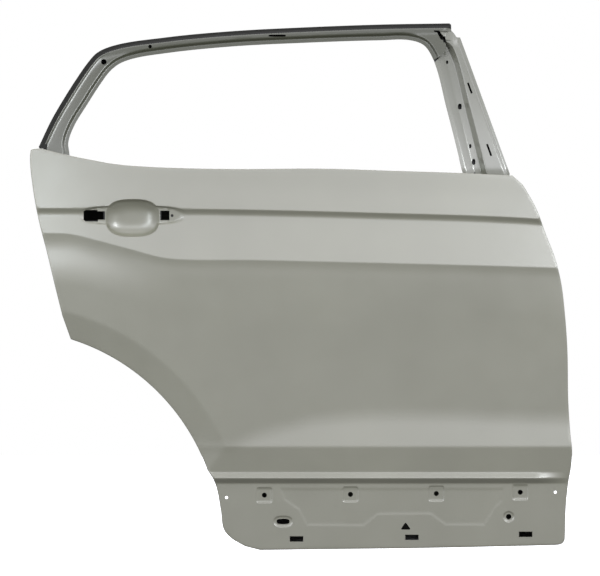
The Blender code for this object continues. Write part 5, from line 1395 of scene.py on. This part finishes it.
def window_ring():
    inner = tuple(d + OPENING_FLANGE - OUTER_BAND for d in RING_WALLS)
    lines = family(outer_edge(), RING_WALLS, -1, "outer") + family(opening_edge(), inner, 1, "opening")
    lines = clipped(lines, above_foot) + foot_lines()
    lines = clipped(lines, lambda line: (line[:, 0] < RING_CORNER)
                    | (from_edges(*line.T)[0] > RING_CORNER_CLEARANCE))
    outline = inset(ring_outline(), FRAME_INNER_INSET)
    # The ring's outboard faces take the near-black painted shade, seen through the frame's joint gap and
    # holes.
    obj = frame_sheet("window_ring", outline, [], lines + front_rows(RING_WALLS), soft_ring,
                      (cavity_shade_paint, frame_primer_and_shade), "window_frame_inner")
    return sheet_of(obj, FRAME_SHEET, back_material=1)


# Inner panel

HINGE_CUT = 0.060
WALL_CUT = 0.020
CHECK_CUT = 0.040
SLOT_CORNER_RADIUS = 0.003
WALL_FOOT_RADIUS = 0.005
WALL_TOP_RADIUS = 0.0012
WALL_RINGS = (
    -0.0050, -0.0040, -0.0028, -0.0016, -0.0007, 0.0, 0.0020, 0.0040, 0.0060, 0.0066, 0.0073, 0.0095,
)
WALL_RING_STEP = 0.007
FACE_STRETCH = 0.008
OPENING_LIP = 0.010
OPENING_LIP_STEP = 0.003
PANEL_GRID = 0.0085
BEAD_HALF_WIDTH = 0.010
BEAD_STEP = 0.0035
BEADS = [
    ((0.470, 0.340), (0.545, 0.470)), ((0.510, 0.200), (0.575, 0.300)), ((0.560, 0.110), (0.640, 0.110)),
    ((0.930, 0.110), (1.010, 0.110)), ((0.940, 0.255), (1.040, 0.255)), ((1.060, 0.260), (1.060, 0.360)),
    ((0.250, 0.635), (0.560, 0.635)), ((0.680, 0.635), (0.960, 0.635)), ((0.600, 0.262), (0.680, 0.262)),
    ((0.330, 0.470), (0.440, 0.430)),
]
CLIP_DIMPLE_RADIUS = 0.013
CLIP_DIMPLE_STEP = 0.0015
CLIP_DIMPLE_RAMP = 0.004
BEAD_STEEPNESS = 1.6
OPENING_SIDE = 0.010
PANEL_EDGE_STEP = 0.010
LIP_RINGS = (0.0025, 0.005, 0.0075, 0.010)
BEAD_RINGS = (0.0, 0.0030, 0.0045, 0.0065, 0.0085, 0.0100)
BEAD_RING_STEP = 0.006
DIMPLE_RINGS = (0.0070, 0.0090, 0.0110, 0.0130)
SPEAKER_RINGS = (0.0835, 0.0880, 0.0920, 0.0935, 0.0950, 0.0965, 0.0980, 0.1000)
FACE_ROWS = (-0.003, 0, 0.003)
FACE_ROW_SPAN = (0.05, 1.18, 0.007)
CREASE_ROWS = (0.0018, 0.0, -0.0018, -0.0082, -0.0100, -0.0118)
CREASE_ROW_SPAN = (0.045, 1.18, 0.004)
RIDGE_ROWS = (0.1480, 0.1464, 0.1448, 0.1356, 0.1340, 0.1322, 0.1252, 0.1236, 0.1220)
RIDGE_ROW_SPAN = (0.42, 1.18, 0.004)
PANEL_CLEARANCE = 0.0030
WALL_CLEARANCE = (-0.0062, 0.0108)
PANEL_POINT_GAP = 0.0008
PANEL_EDGE_CLEARANCE = 0.0016
PANEL_HOLE_CLEARANCE = 0.0012


def wall_section(d, flange, face):
    """Depth across the panel's wall: a fillet from the flange, a drafted wall and a fillet to the face."""
    t = np.clip(d + WALL_FOOT_RADIUS, 0, WALL_FOOT_RADIUS)
    foot = flange + WALL_FOOT_RADIUS - np.sqrt(WALL_FOOT_RADIUS ** 2 - t ** 2)
    t = np.clip(WALL_DRAFT + WALL_TOP_RADIUS - d, 0, WALL_TOP_RADIUS)
    top = face - WALL_TOP_RADIUS + np.sqrt(WALL_TOP_RADIUS ** 2 - t ** 2)
    share = ramp(d / WALL_DRAFT)
    wall = flange + WALL_FOOT_RADIUS + (face - WALL_TOP_RADIUS - flange - WALL_FOOT_RADIUS) * share
    return np.where(d <= 0, foot, np.where(d >= WALL_DRAFT, top, wall))


def panel_openings():
    service = rounded_rectangle(*SERVICE_OPENING, SERVICE_RADIUS, SERVICE_CORNER_POINTS)
    latch = rounded_rectangle(*LATCH_OPENING, LATCH_OPENING_RADIUS, LATCH_CORNER_POINTS)
    return [refined(service, OPENING_SIDE), refined(latch, OPENING_SIDE)]


def away_from(plan, line, closed, reach):
    """The distance of each point from a line, or the reach where it is further."""
    close = within_reach(plan, line, reach)
    away = np.full(len(plan), reach)
    away[close] = distance_to(plan[close], line, closed)
    return away


def panel_face(x, z):
    """Depth of the face with its step, speaker seat, turned opening edges, beads and clip dimples."""
    plan = np.column_stack([x, z])
    depth = trim_face_depth(x, z)
    for opening in panel_openings():
        away = away_from(plan, opening, True, OPENING_LIP)
        depth = depth - OPENING_LIP_STEP * eased(1 - away / OPENING_LIP)
    for bead in BEADS:
        away = away_from(plan, np.array(bead), False, BEAD_HALF_WIDTH)
        depth = depth - BEAD_STEP * eased(BEAD_STEEPNESS * (1 - away / BEAD_HALF_WIDTH))
    for hole in TRIM_HOLES:
        away = np.hypot(x - hole[0], z - hole[1])
        depth = depth - CLIP_DIMPLE_STEP * eased((CLIP_DIMPLE_RADIUS - away) / CLIP_DIMPLE_RAMP)
    return depth


def bead_rings(bead):
    """Lines along a bead: its middle, then a pair on either side for each distance."""
    a, b = np.array(bead)
    unit = (b - a) / np.linalg.norm(b - a)
    side = np.array([-unit[1], unit[0]])
    rings = []
    for w in BEAD_RINGS:
        for s in ((-1, 1) if w else (1,)):
            ends = [a - unit * w + side * s * w, b + unit * w + side * s * w]
            rings.append(along(np.array(ends), BEAD_RING_STEP))
    return rings


def face_rings():
    """Lines round the openings, beads, clip dimples and speaker seat, and along the face's steps."""
    rings = [inset(opening, -d) for opening in panel_openings() for d in LIP_RINGS]
    for bead in BEADS:
        rings += bead_rings(bead)
    rings += [circle(hole, r, DIMPLE_RING_POINTS) for hole in TRIM_HOLES for r in DIMPLE_RINGS]
    rings += [circle(SPEAKER_CENTRE, r, SPEAKER_RING_POINTS) for r in SPEAKER_RINGS]
    levels = [level + d for level in (FACE_STEP_TOP, FACE_STEP_FOOT, FACE_TAPER_TOP) for d in FACE_ROWS]
    return rings + [level_row(level, FACE_ROW_SPAN) for level in levels]


def level_row(level, span):
    return across(lambda x: np.full_like(x, level), *span)


def flange_rows():
    """Lines along the creases that the panel's flange shares with the skin."""
    rows = []
    for height in (shoulder_height, waist_height):
        rows += [across(lambda x: height(x) + d, *CREASE_ROW_SPAN) for d in CREASE_ROWS]
    return np.vstack(rows + [level_row(level, RIDGE_ROW_SPAN) for level in RIDGE_ROWS])


def panel_points(outline, wall, holes):
    """The inner points of the inner panel's mesh."""
    points = square_grid(outline.min(axis=0), outline.max(axis=0), PANEL_GRID)
    points = points[inside(points, outline)]
    rings = face_rings()
    points = kept_clear(points, wall_rings(wall) + rings, False, PANEL_CLEARANCE)
    extra = spread(rings, PANEL_POINT_GAP)
    reach = depth_inside(extra, wall)
    extra = extra[(reach < WALL_CLEARANCE[0]) | (reach > WALL_CLEARANCE[1])]
    flange = flange_rows()
    flange = flange[depth_inside(flange, wall) < WALL_CLEARANCE[0]]
    points = np.vstack([points, extra, flange])
    return within_sheet(points, outline, holes, PANEL_EDGE_CLEARANCE, PANEL_HOLE_CLEARANCE)


def wall_rings(wall):
    """Closed lines across the wall and its two fillets, each starting where it ended."""
    rings = [refined(inset(wall, d) if d else wall, WALL_RING_STEP) for d in WALL_RINGS]
    return [np.vstack([ring, ring[:1]]) for ring in rings]


def door_inner_panel():
    wall = wall_loop()
    outline = inset(skin_outline(PANEL_EDGE_STEP), PANEL_EDGE_INSET)
    outline[:, 1] = np.minimum(outline[:, 1], belt_height(outline[:, 0]) - BELT_DROP)
    holes = panel_openings() + circles([SPEAKER_CENTRE], SPEAKER_RADIUS, SPEAKER_POINTS)
    holes += circles(TRIM_HOLES, TRIM_HOLE_RADIUS, HOLE_POINTS)
    holes += circles(REGULATOR_HOLES, REGULATOR_HOLE_RADIUS, HOLE_POINTS)
    holes += circles(CLIP_HOLES, CLIP_HOLE_RADIUS, PIN_POINTS)
    holes += [rectangle(p, DRAIN_MATCH_SIZE) for p in DRAIN_MATCHES]
    rings = clipped(wall_rings(wall), lambda line: depth_inside(line, outline) > PANEL_HOLE_CLEARANCE)
    plan, faces = triangulated(outline, holes, panel_points(outline, wall, holes), rings)
    x, z = plan.T
    flange = soft_skin_plain(x, z) + SKIN_SHEET + HEM_GAP
    d = depth_inside(plan, wall)
    points = np.column_stack([upright(x, z, d), wall_section(d, flange, panel_face(x, z)), z])
    # The face towards the skin takes the near-black painted shade; the trim side takes the plain primer.
    obj = piece("door_inner_panel", points, faces, cavity_shade_paint, "inner_panel")
    obj.data.materials.append(skin_paint)
    return smoothed(cut_out(sheet_of(obj, INNER_SHEET, back_material=1), wall_prisms()))


def upright(x, z, d):
    """x with the hinge wall and the latch wall standing exactly upright over their spans."""
    for wall, side, span in ((HINGE_WALL, -1, HINGE_WALL_SPAN), (LATCH_WALL, 1, LATCH_WALL_SPAN)):
        t = (x - wall) * side
        moved = np.where(t < WALL_DRAFT, 0, (t - WALL_DRAFT) * (FACE_STRETCH + WALL_DRAFT) / FACE_STRETCH)
        near = (d > 0) & (t < WALL_DRAFT + FACE_STRETCH) & between(z, span, WALL_DRAFT / 2)
        x = np.where(near, wall + side * moved, x)
    return x


def wall_prism(wall, depth, height, loop, length):
    """A straight prism through an upright wall."""
    return ("x", (wall, depth, height), loop, length)


def hinge_prisms(height):
    loop = circle((0, 0), HINGE_BOLT_RADIUS, BOLT_POINTS)
    heights = [height + s * HINGE_BOLT_SPACING / 2 for s in (-1, 1)]
    return [wall_prism(HINGE_WALL, HINGE_DEPTH, z, loop, HINGE_CUT) for z in heights]


def latch_prisms():
    made = [wall_prism(LATCH_WALL, LATCH_DEPTH, LATCH_HEIGHT, rounded_slot(LATCH_SLOT), WALL_CUT)]
    loop = circle((0, 0), LATCH_BOLT_RADIUS, LATCH_BOLT_POINTS)
    for side, up in LATCH_BOLTS:
        made.append(wall_prism(LATCH_WALL, LATCH_DEPTH + side, LATCH_HEIGHT + up, loop, WALL_CUT))
    return made


def check_prisms():
    return [wall_prism(HINGE_WALL, HINGE_DEPTH, CHECK_HEIGHT, rounded_slot(CHECK_SLOT), CHECK_CUT)]


def rounded_slot(size):
    half = (size[0] / 2, size[1] / 2)
    return rounded_rectangle((-half[0], -half[1]), half, SLOT_CORNER_RADIUS, SLOT_CORNER_POINTS)


def wall_prisms():
    loop = circle((0, 0), GROMMET_RADIUS, GROMMET_POINTS)
    grommet = wall_prism(HINGE_WALL, HINGE_DEPTH, GROMMET_HEIGHT, loop, WALL_CUT)
    return [*hinge_prisms(HINGE_UPPER), *hinge_prisms(HINGE_LOWER), *check_prisms(), grommet, *latch_prisms()]


def cut_out(obj, prisms):
    """Cuts straight prisms out of a piece: each is an axis, a centre, a loop across the axis and a length."""
    work = bmesh.new()
    for axis, centre, loop, length in prisms:
        rings = []
        for side in (-1, 1):
            ring = []
            for u, v in loop:
                offset = (side * length / 2, u, v) if axis == "x" else (u, side * length / 2, v)
                ring.append(work.verts.new(Vector(centre) + Vector(offset) - GRID_ORIGIN))
            rings.append(ring)
        count = len(loop)
        work.faces.new(rings[0])
        work.faces.new(rings[1][::-1])
        for k in range(count):
            after = (k + 1) % count
            work.faces.new((rings[0][k], rings[1][k], rings[1][after], rings[0][after]))
    bmesh.ops.recalc_face_normals(work, faces=work.faces)
    mesh = bpy.data.meshes.new("cutter")
    work.to_mesh(mesh)
    work.free()
    cutter = new_object("cutter", mesh)
    made = obj.modifiers.new("holes", "BOOLEAN")
    made.operation = "DIFFERENCE"
    made.object = cutter
    made.solver = "EXACT"
    applied(obj)
    bpy.data.objects.remove(cutter, do_unlink=True)
    return obj


# Folded plates and small pieces

BEND_RADIUS = 0.0035
BEND_POINTS = 7
BEND_SHARE = 0.45
PLATE_ROWS = 5
PLATE_EDGE = 0.0003
PLATE_EDGE_ANGLE = math.radians(50)
TAPPING_PLATE_BEVEL = 0.0010
CHECK_PLATE_BEVEL = 0.0004
BRACKET_LEG = 0.050
BEAM_SIDES = 48
BEAM_END_BEVEL = 0.0004
NUT_SIDES = 24
NUT_FLAT_SHARE = 0.85
NUT_TOP_SHARE = 0.88


def rounded_path(path, radius):
    """A path whose corners are rounded over about a radius."""
    made = [np.array(path[0])]
    for corners in zip(path[:-2], path[1:-1], path[2:]):
        a, b, c = map(np.array, corners)
        before, after = (a - b) / np.linalg.norm(a - b), (c - b) / np.linalg.norm(c - b)
        half = math.acos(np.clip(before @ after, -1, 1)) / 2
        longest = [np.linalg.norm(a - b) * BEND_SHARE, np.linalg.norm(c - b) * BEND_SHARE]
        reach = min(radius / math.tan(half), *longest)
        start, end = b + before * reach, b + after * reach
        for t in np.linspace(0, 1, BEND_POINTS):
            made.append((1 - t) ** 2 * start + 2 * t * (1 - t) * b + t * t * end)
    made.append(np.array(path[-1]))
    return np.array(made)


def bent(name, node, path, height, half, thickness, prisms=()):
    """A plate bent along a path of (x, y) points and drawn out up and down, with its edges eased."""
    fine = rounded_path(path, BEND_RADIUS)
    points = [(u, v, w) for w in np.linspace(height - half, height + half, PLATE_ROWS) for u, v in fine]
    count = len(fine)
    faces = [(j * count + k, j * count + k + 1, (j + 1) * count + k + 1, (j + 1) * count + k)
             for j in range(PLATE_ROWS - 1) for k in range(count - 1)]
    obj = piece(name, points, faces, skin_paint, node)
    thicken(obj, thickness)
    edges = obj.modifiers.new("edges", "BEVEL")
    edges.width = PLATE_EDGE
    edges.segments = 2
    edges.limit_method = "ANGLE"
    edges.angle_limit = PLATE_EDGE_ANGLE
    applied(obj)
    if prisms:
        cut_out(obj, prisms)
    return smoothed(obj)


def block(name, node, low, high, bevel, look, prisms):
    """A box with rounded edges and holes."""
    mesh = bpy.data.meshes.new(name)
    work = bmesh.new()
    bmesh.ops.create_cube(work, size=1.0)
    bmesh.ops.scale(work, vec=Vector(high) - Vector(low), verts=work.verts)
    bmesh.ops.translate(work, vec=(Vector(low) + Vector(high)) / 2 - GRID_ORIGIN, verts=work.verts)
    bmesh.ops.bevel(work, geom=work.edges, offset=bevel, segments=3, affect="EDGES", profile=0.5)
    work.to_mesh(mesh)
    work.free()
    return smoothed(cut_out(placed(name, mesh, look, node), prisms))


def hinge_plates():
    front = HINGE_WALL - SEAT_GAP
    back = TRIM_FACE_DEPTH - SEAT_GAP
    face = front - HINGE_SHEET - SEAT_GAP
    deep, tall = HINGE_PLATE
    path = [(front, HINGE_REINFORCEMENT_EDGE), (front, back), (front - HINGE_REINFORCEMENT_LEG, back)]
    half = HINGE_REINFORCEMENT_HEIGHT / 2
    for name, height in (("upper", HINGE_UPPER), ("lower", HINGE_LOWER)):
        prisms = hinge_prisms(height)
        node = f"hinge_reinforcement_{name}"
        bent(f"hinge_plate_{name}", node, path, height, half, HINGE_SHEET, prisms)
        low = (face - HINGE_PLATE_THICKNESS, HINGE_DEPTH - deep / 2, height - tall / 2)
        high = (face, HINGE_DEPTH + deep / 2, height + tall / 2)
        node = f"hinge_tapping_plate_{name}"
        block(f"tapping_plate_{name}", node, low, high, TAPPING_PLATE_BEVEL, steel_paint, prisms)


def check_plate():
    face = HINGE_WALL - SEAT_GAP
    half = CHECK_PLATE_HEIGHT / 2
    low = (face - HINGE_SHEET, CHECK_PLATE_EDGES[0], CHECK_HEIGHT - half)
    high = (face, CHECK_PLATE_EDGES[1], CHECK_HEIGHT + half)
    block("check_strap_plate", "check_strap_reinforcement", low, high, CHECK_PLATE_BEVEL, skin_paint,
          check_prisms())


def latch_plate():
    wall = LATCH_WALL + SEAT_GAP
    back = TRIM_FACE_DEPTH - SEAT_GAP
    path = [(wall + LATCH_REINFORCEMENT_LEG, back), (wall, back), (wall, LATCH_REINFORCEMENT_EDGE)]
    half = LATCH_REINFORCEMENT_HEIGHT / 2
    bent("latch_plate", "latch_reinforcement", path, LATCH_HEIGHT, half, BRACKET_SHEET, latch_prisms())


def beam_height(x):
    share = (x - BEAM_REAR[0]) / (BEAM_FRONT[0] - BEAM_REAR[0])
    return BEAM_REAR[1] + (BEAM_FRONT[1] - BEAM_REAR[1]) * share


def ring_faces(rings, sides):
    """Faces round rings of points, the last ring joined to the first."""
    faces = []
    for j in range(rings):
        this, following = j * sides, (j + 1) % rings * sides
        for k in range(sides):
            after = (k + 1) % sides
            faces.append((this + k, this + after, following + after, following + k))
    return faces


def beam_brackets():
    behind = BEAM_DEPTH + BEAM_RADIUS + SEAT_GAP
    front, rear = HINGE_WALL - SEAT_GAP, LATCH_WALL + SEAT_GAP
    front_path = [(BEAM_FRONT[0] - SADDLE_LENGTH, behind), (front, behind), (front, behind + BRACKET_LEG)]
    rear_path = [(rear, behind + BRACKET_LEG), (rear, behind), (BEAM_REAR[0] + SADDLE_LENGTH, behind)]
    front_height = beam_height(BEAM_FRONT[0] - SADDLE_LENGTH / 2)
    rear_height = beam_height(BEAM_REAR[0] + SADDLE_LENGTH / 2)
    for end, path, height in (("front", front_path, front_height), ("rear", rear_path, rear_height)):
        bent(f"beam_foot_{end}", f"beam_bracket_{end}", path, height, SADDLE_HALF_HEIGHT, BRACKET_SHEET)


def impact_beam():
    start = Vector((BEAM_FRONT[0], BEAM_DEPTH, BEAM_FRONT[1]))
    end = Vector((BEAM_REAR[0], BEAM_DEPTH, BEAM_REAR[1]))
    axis = (end - start).normalized()
    side = Vector((0, 1, 0))
    up = axis.cross(side)
    bore, rim, bevel = BEAM_RADIUS - BEAM_WALL, BEAM_RADIUS - BEAM_END_BEVEL, axis * BEAM_END_BEVEL
    rings = [(start, bore), (start, rim), (start + bevel, BEAM_RADIUS),
             (end - bevel, BEAM_RADIUS), (end, rim), (end, bore)]
    points = []
    for centre, radius in rings:
        for k in range(BEAM_SIDES):
            a = 2 * math.pi * k / BEAM_SIDES
            points.append(tuple(centre + (side * math.cos(a) + up * math.sin(a)) * radius))
    faces = ring_faces(len(rings), BEAM_SIDES)
    smoothed(piece("impact_beam", points, faces, skin_paint, "side_impact_beam"))


def weld_nuts():
    """Six-sided nuts with a bore, on the inner panel's inner side."""
    top = TRIM_FACE_DEPTH - SEAT_GAP
    sixth = math.pi / 6
    section = [(REGULATOR_HOLE_RADIUS, 0.0), (NUT_RADIUS, 0.0), (NUT_RADIUS, -NUT_HEIGHT * NUT_FLAT_SHARE),
               (NUT_RADIUS * NUT_TOP_SHARE, -NUT_HEIGHT), (REGULATOR_HOLE_RADIUS, -NUT_HEIGHT)]
    faces = ring_faces(len(section), NUT_SIDES)
    for number, (x, z) in enumerate(REGULATOR_HOLES, 1):
        points = []
        for radius, drop in section:
            for k in range(NUT_SIDES):
                a = 2 * math.pi * k / NUT_SIDES
                corner = math.cos(sixth) / math.cos((a + sixth) % (math.pi / 3) - sixth)
                r = radius * corner if radius == NUT_RADIUS else radius
                points.append((x + r * math.cos(a), top + drop, z + r * math.sin(a)))
        node = f"regulator_weld_nut_{number}"
        smoothed(piece(f"weld_nut_{number}", points, faces, steel_paint, node))


def carried_looks():
    """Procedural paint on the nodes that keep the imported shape."""
    for name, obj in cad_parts.items():
        look = mastic_paint if name.startswith("mastic") else skin_paint
        if name.startswith(("hinge_tapping", "regulator")):
            look = steel_paint
        # The handle reinforcement takes the near-black painted shade, seen through the handle seat's windows.
        if name == "handle_reinforcement":
            look = cavity_shade_paint
        obj.data.materials.clear()
        obj.data.materials.append(look)


# Camera, light and stage

ROOM_BRIGHTNESS = 0.86
ROOM_TINT = (0.985, 0.985, 1.08)
ROOM_LEVELS = [
    (0.0, 0.13), (0.30, 0.18), (0.44, 0.36), (0.50, 0.60), (0.57, 1.05), (0.64, 1.80), (0.72, 2.55),
    (0.78, 1.40), (0.84, 0.75), (0.92, 0.90), (1.0, 2.60),
]
# Softboxes: name, place, target, size, watts and colour
SOFTBOXES = [
    ("right_softbox", (1.7, -3.7, 1.9), (-0.3, 0.0, 0.3), (1.6, 1.2), 68, (0.93, 0.97, 1.0)),
    ("left_softbox", (-3.0, -3.0, 0.5), (-1.1, 0.0, 0.1), (1.0, 1.4), 26, (0.90, 0.96, 1.0)),
    ("edge_softbox", (-1.17, -0.80, 0.50), (-1.06, 0.0, 0.17), (0.16, 0.20), 0.45, (0.84, 0.93, 1.0)),
    ("back_softbox", (-0.6, 2.6, 2.2), (-0.5, 0.0, 0.1), (2.6, 1.4), 45, (0.95, 0.98, 1.0)),
]
FLOOR_CENTRE = (-0.5, 0.05)
FLOOR_RADIUS = 20
FLOOR_GAP = 0.001
FLOOR_COLOUR = 0.93
FLOOR_ROUGHNESS = 0.9
FLOOR_GLOW = 0.75


def camera():
    made = bpy.data.cameras.new("camera")
    made.sensor_fit = "HORIZONTAL"
    made.sensor_width = SENSOR_MM
    made.lens = SENSOR_MM * VIEW_DISTANCE / (PHOTO_SIZE[0] * PHOTO_METRES_PER_PIXEL)
    made.clip_end = VIEW_END
    obj = new_object("camera", made)
    obj.location = (VIEW_CENTRE[0] - GRID_ORIGIN[0], -VIEW_DISTANCE, VIEW_CENTRE[1] - GRID_ORIGIN[2])
    obj.rotation_euler = (math.pi / 2, 0, 0)
    bpy.context.scene.camera = obj


def area_light(name, place, target, size, power, colour):
    """A rectangular lamp at a place, turned to a target, unseen by the camera."""
    data = bpy.data.lights.new(name, "AREA")
    data.shape = "RECTANGLE"
    data.size, data.size_y = size
    data.energy = power
    data.color = colour
    obj = new_object(name, data)
    obj.location = place
    obj.visible_camera = False
    obj.rotation_euler = (Vector(target) - Vector(place)).to_track_quat("-Z", "Y").to_euler()


def surroundings():
    """A pale room: bright overhead, dim below, and plain white behind the object."""
    world = bpy.data.worlds.new("room")
    bpy.context.scene.world = world
    world.use_nodes = True
    nodes, links = world.node_tree.nodes, world.node_tree.links
    background = nodes["Background"]
    where = nodes.new("ShaderNodeTexCoord")
    split = nodes.new("ShaderNodeSeparateXYZ")
    levels = nodes.new("ShaderNodeValToRGB")
    height = filled(nodes.new("ShaderNodeMapRange"), {"From Min": -1.0, "From Max": 1.0})
    links.new(where.outputs["Generated"], split.inputs["Vector"])
    links.new(split.outputs["Z"], height.inputs["Value"])
    links.new(height.outputs["Result"], levels.inputs["Fac"])
    stops = levels.color_ramp.elements
    for number, (place, value) in enumerate(ROOM_LEVELS):
        stop = stops[number] if number < 2 else stops.new(place)
        stop.position = place
        stop.color = (*[ROOM_BRIGHTNESS * value * tint for tint in ROOM_TINT], 1)
    white = filled(nodes.new("ShaderNodeBackground"), {"Color": (1, 1, 1, 1), "Strength": 1.0})
    path = nodes.new("ShaderNodeLightPath")
    mix = nodes.new("ShaderNodeMixShader")
    links.new(levels.outputs["Color"], background.inputs["Color"])
    links.new(path.outputs["Is Camera Ray"], mix.inputs["Fac"])
    links.new(background.outputs["Background"], mix.inputs[1])
    links.new(white.outputs["Background"], mix.inputs[2])
    links.new(mix.outputs["Shader"], nodes["World Output"].inputs["Surface"])


def floor():
    """A white floor just under the object, which lights and mirrors nothing into it."""
    height = cad_box[0][2] - FLOOR_GAP
    place = (*FLOOR_CENTRE, height)
    bpy.ops.mesh.primitive_circle_add(
        vertices=FLOOR_POINTS, radius=FLOOR_RADIUS, fill_type="NGON", location=place
    )
    obj = bpy.context.object
    obj.name = "floor"
    made, _, _, shader = node_material("floor_white")
    filled(shader, {"Base Color": (*[FLOOR_COLOUR] * 3, 1), "Roughness": FLOOR_ROUGHNESS})
    filled(shader, {"Emission Color": (1, 1, 1, 1), "Emission Strength": FLOOR_GLOW})
    obj.data.materials.append(made)
    obj.visible_diffuse = False
    obj.visible_glossy = False


bpy.context.scene.view_settings.view_transform = "Standard"
camera()
surroundings()
floor()
for softbox in SOFTBOXES:
    area_light(*softbox)

carried_looks()
door_skin()
window_header()
window_front_pillar()
window_ring()
door_inner_panel()
hinge_plates()
check_plate()
latch_plate()
beam_brackets()
impact_beam()
weld_nuts()
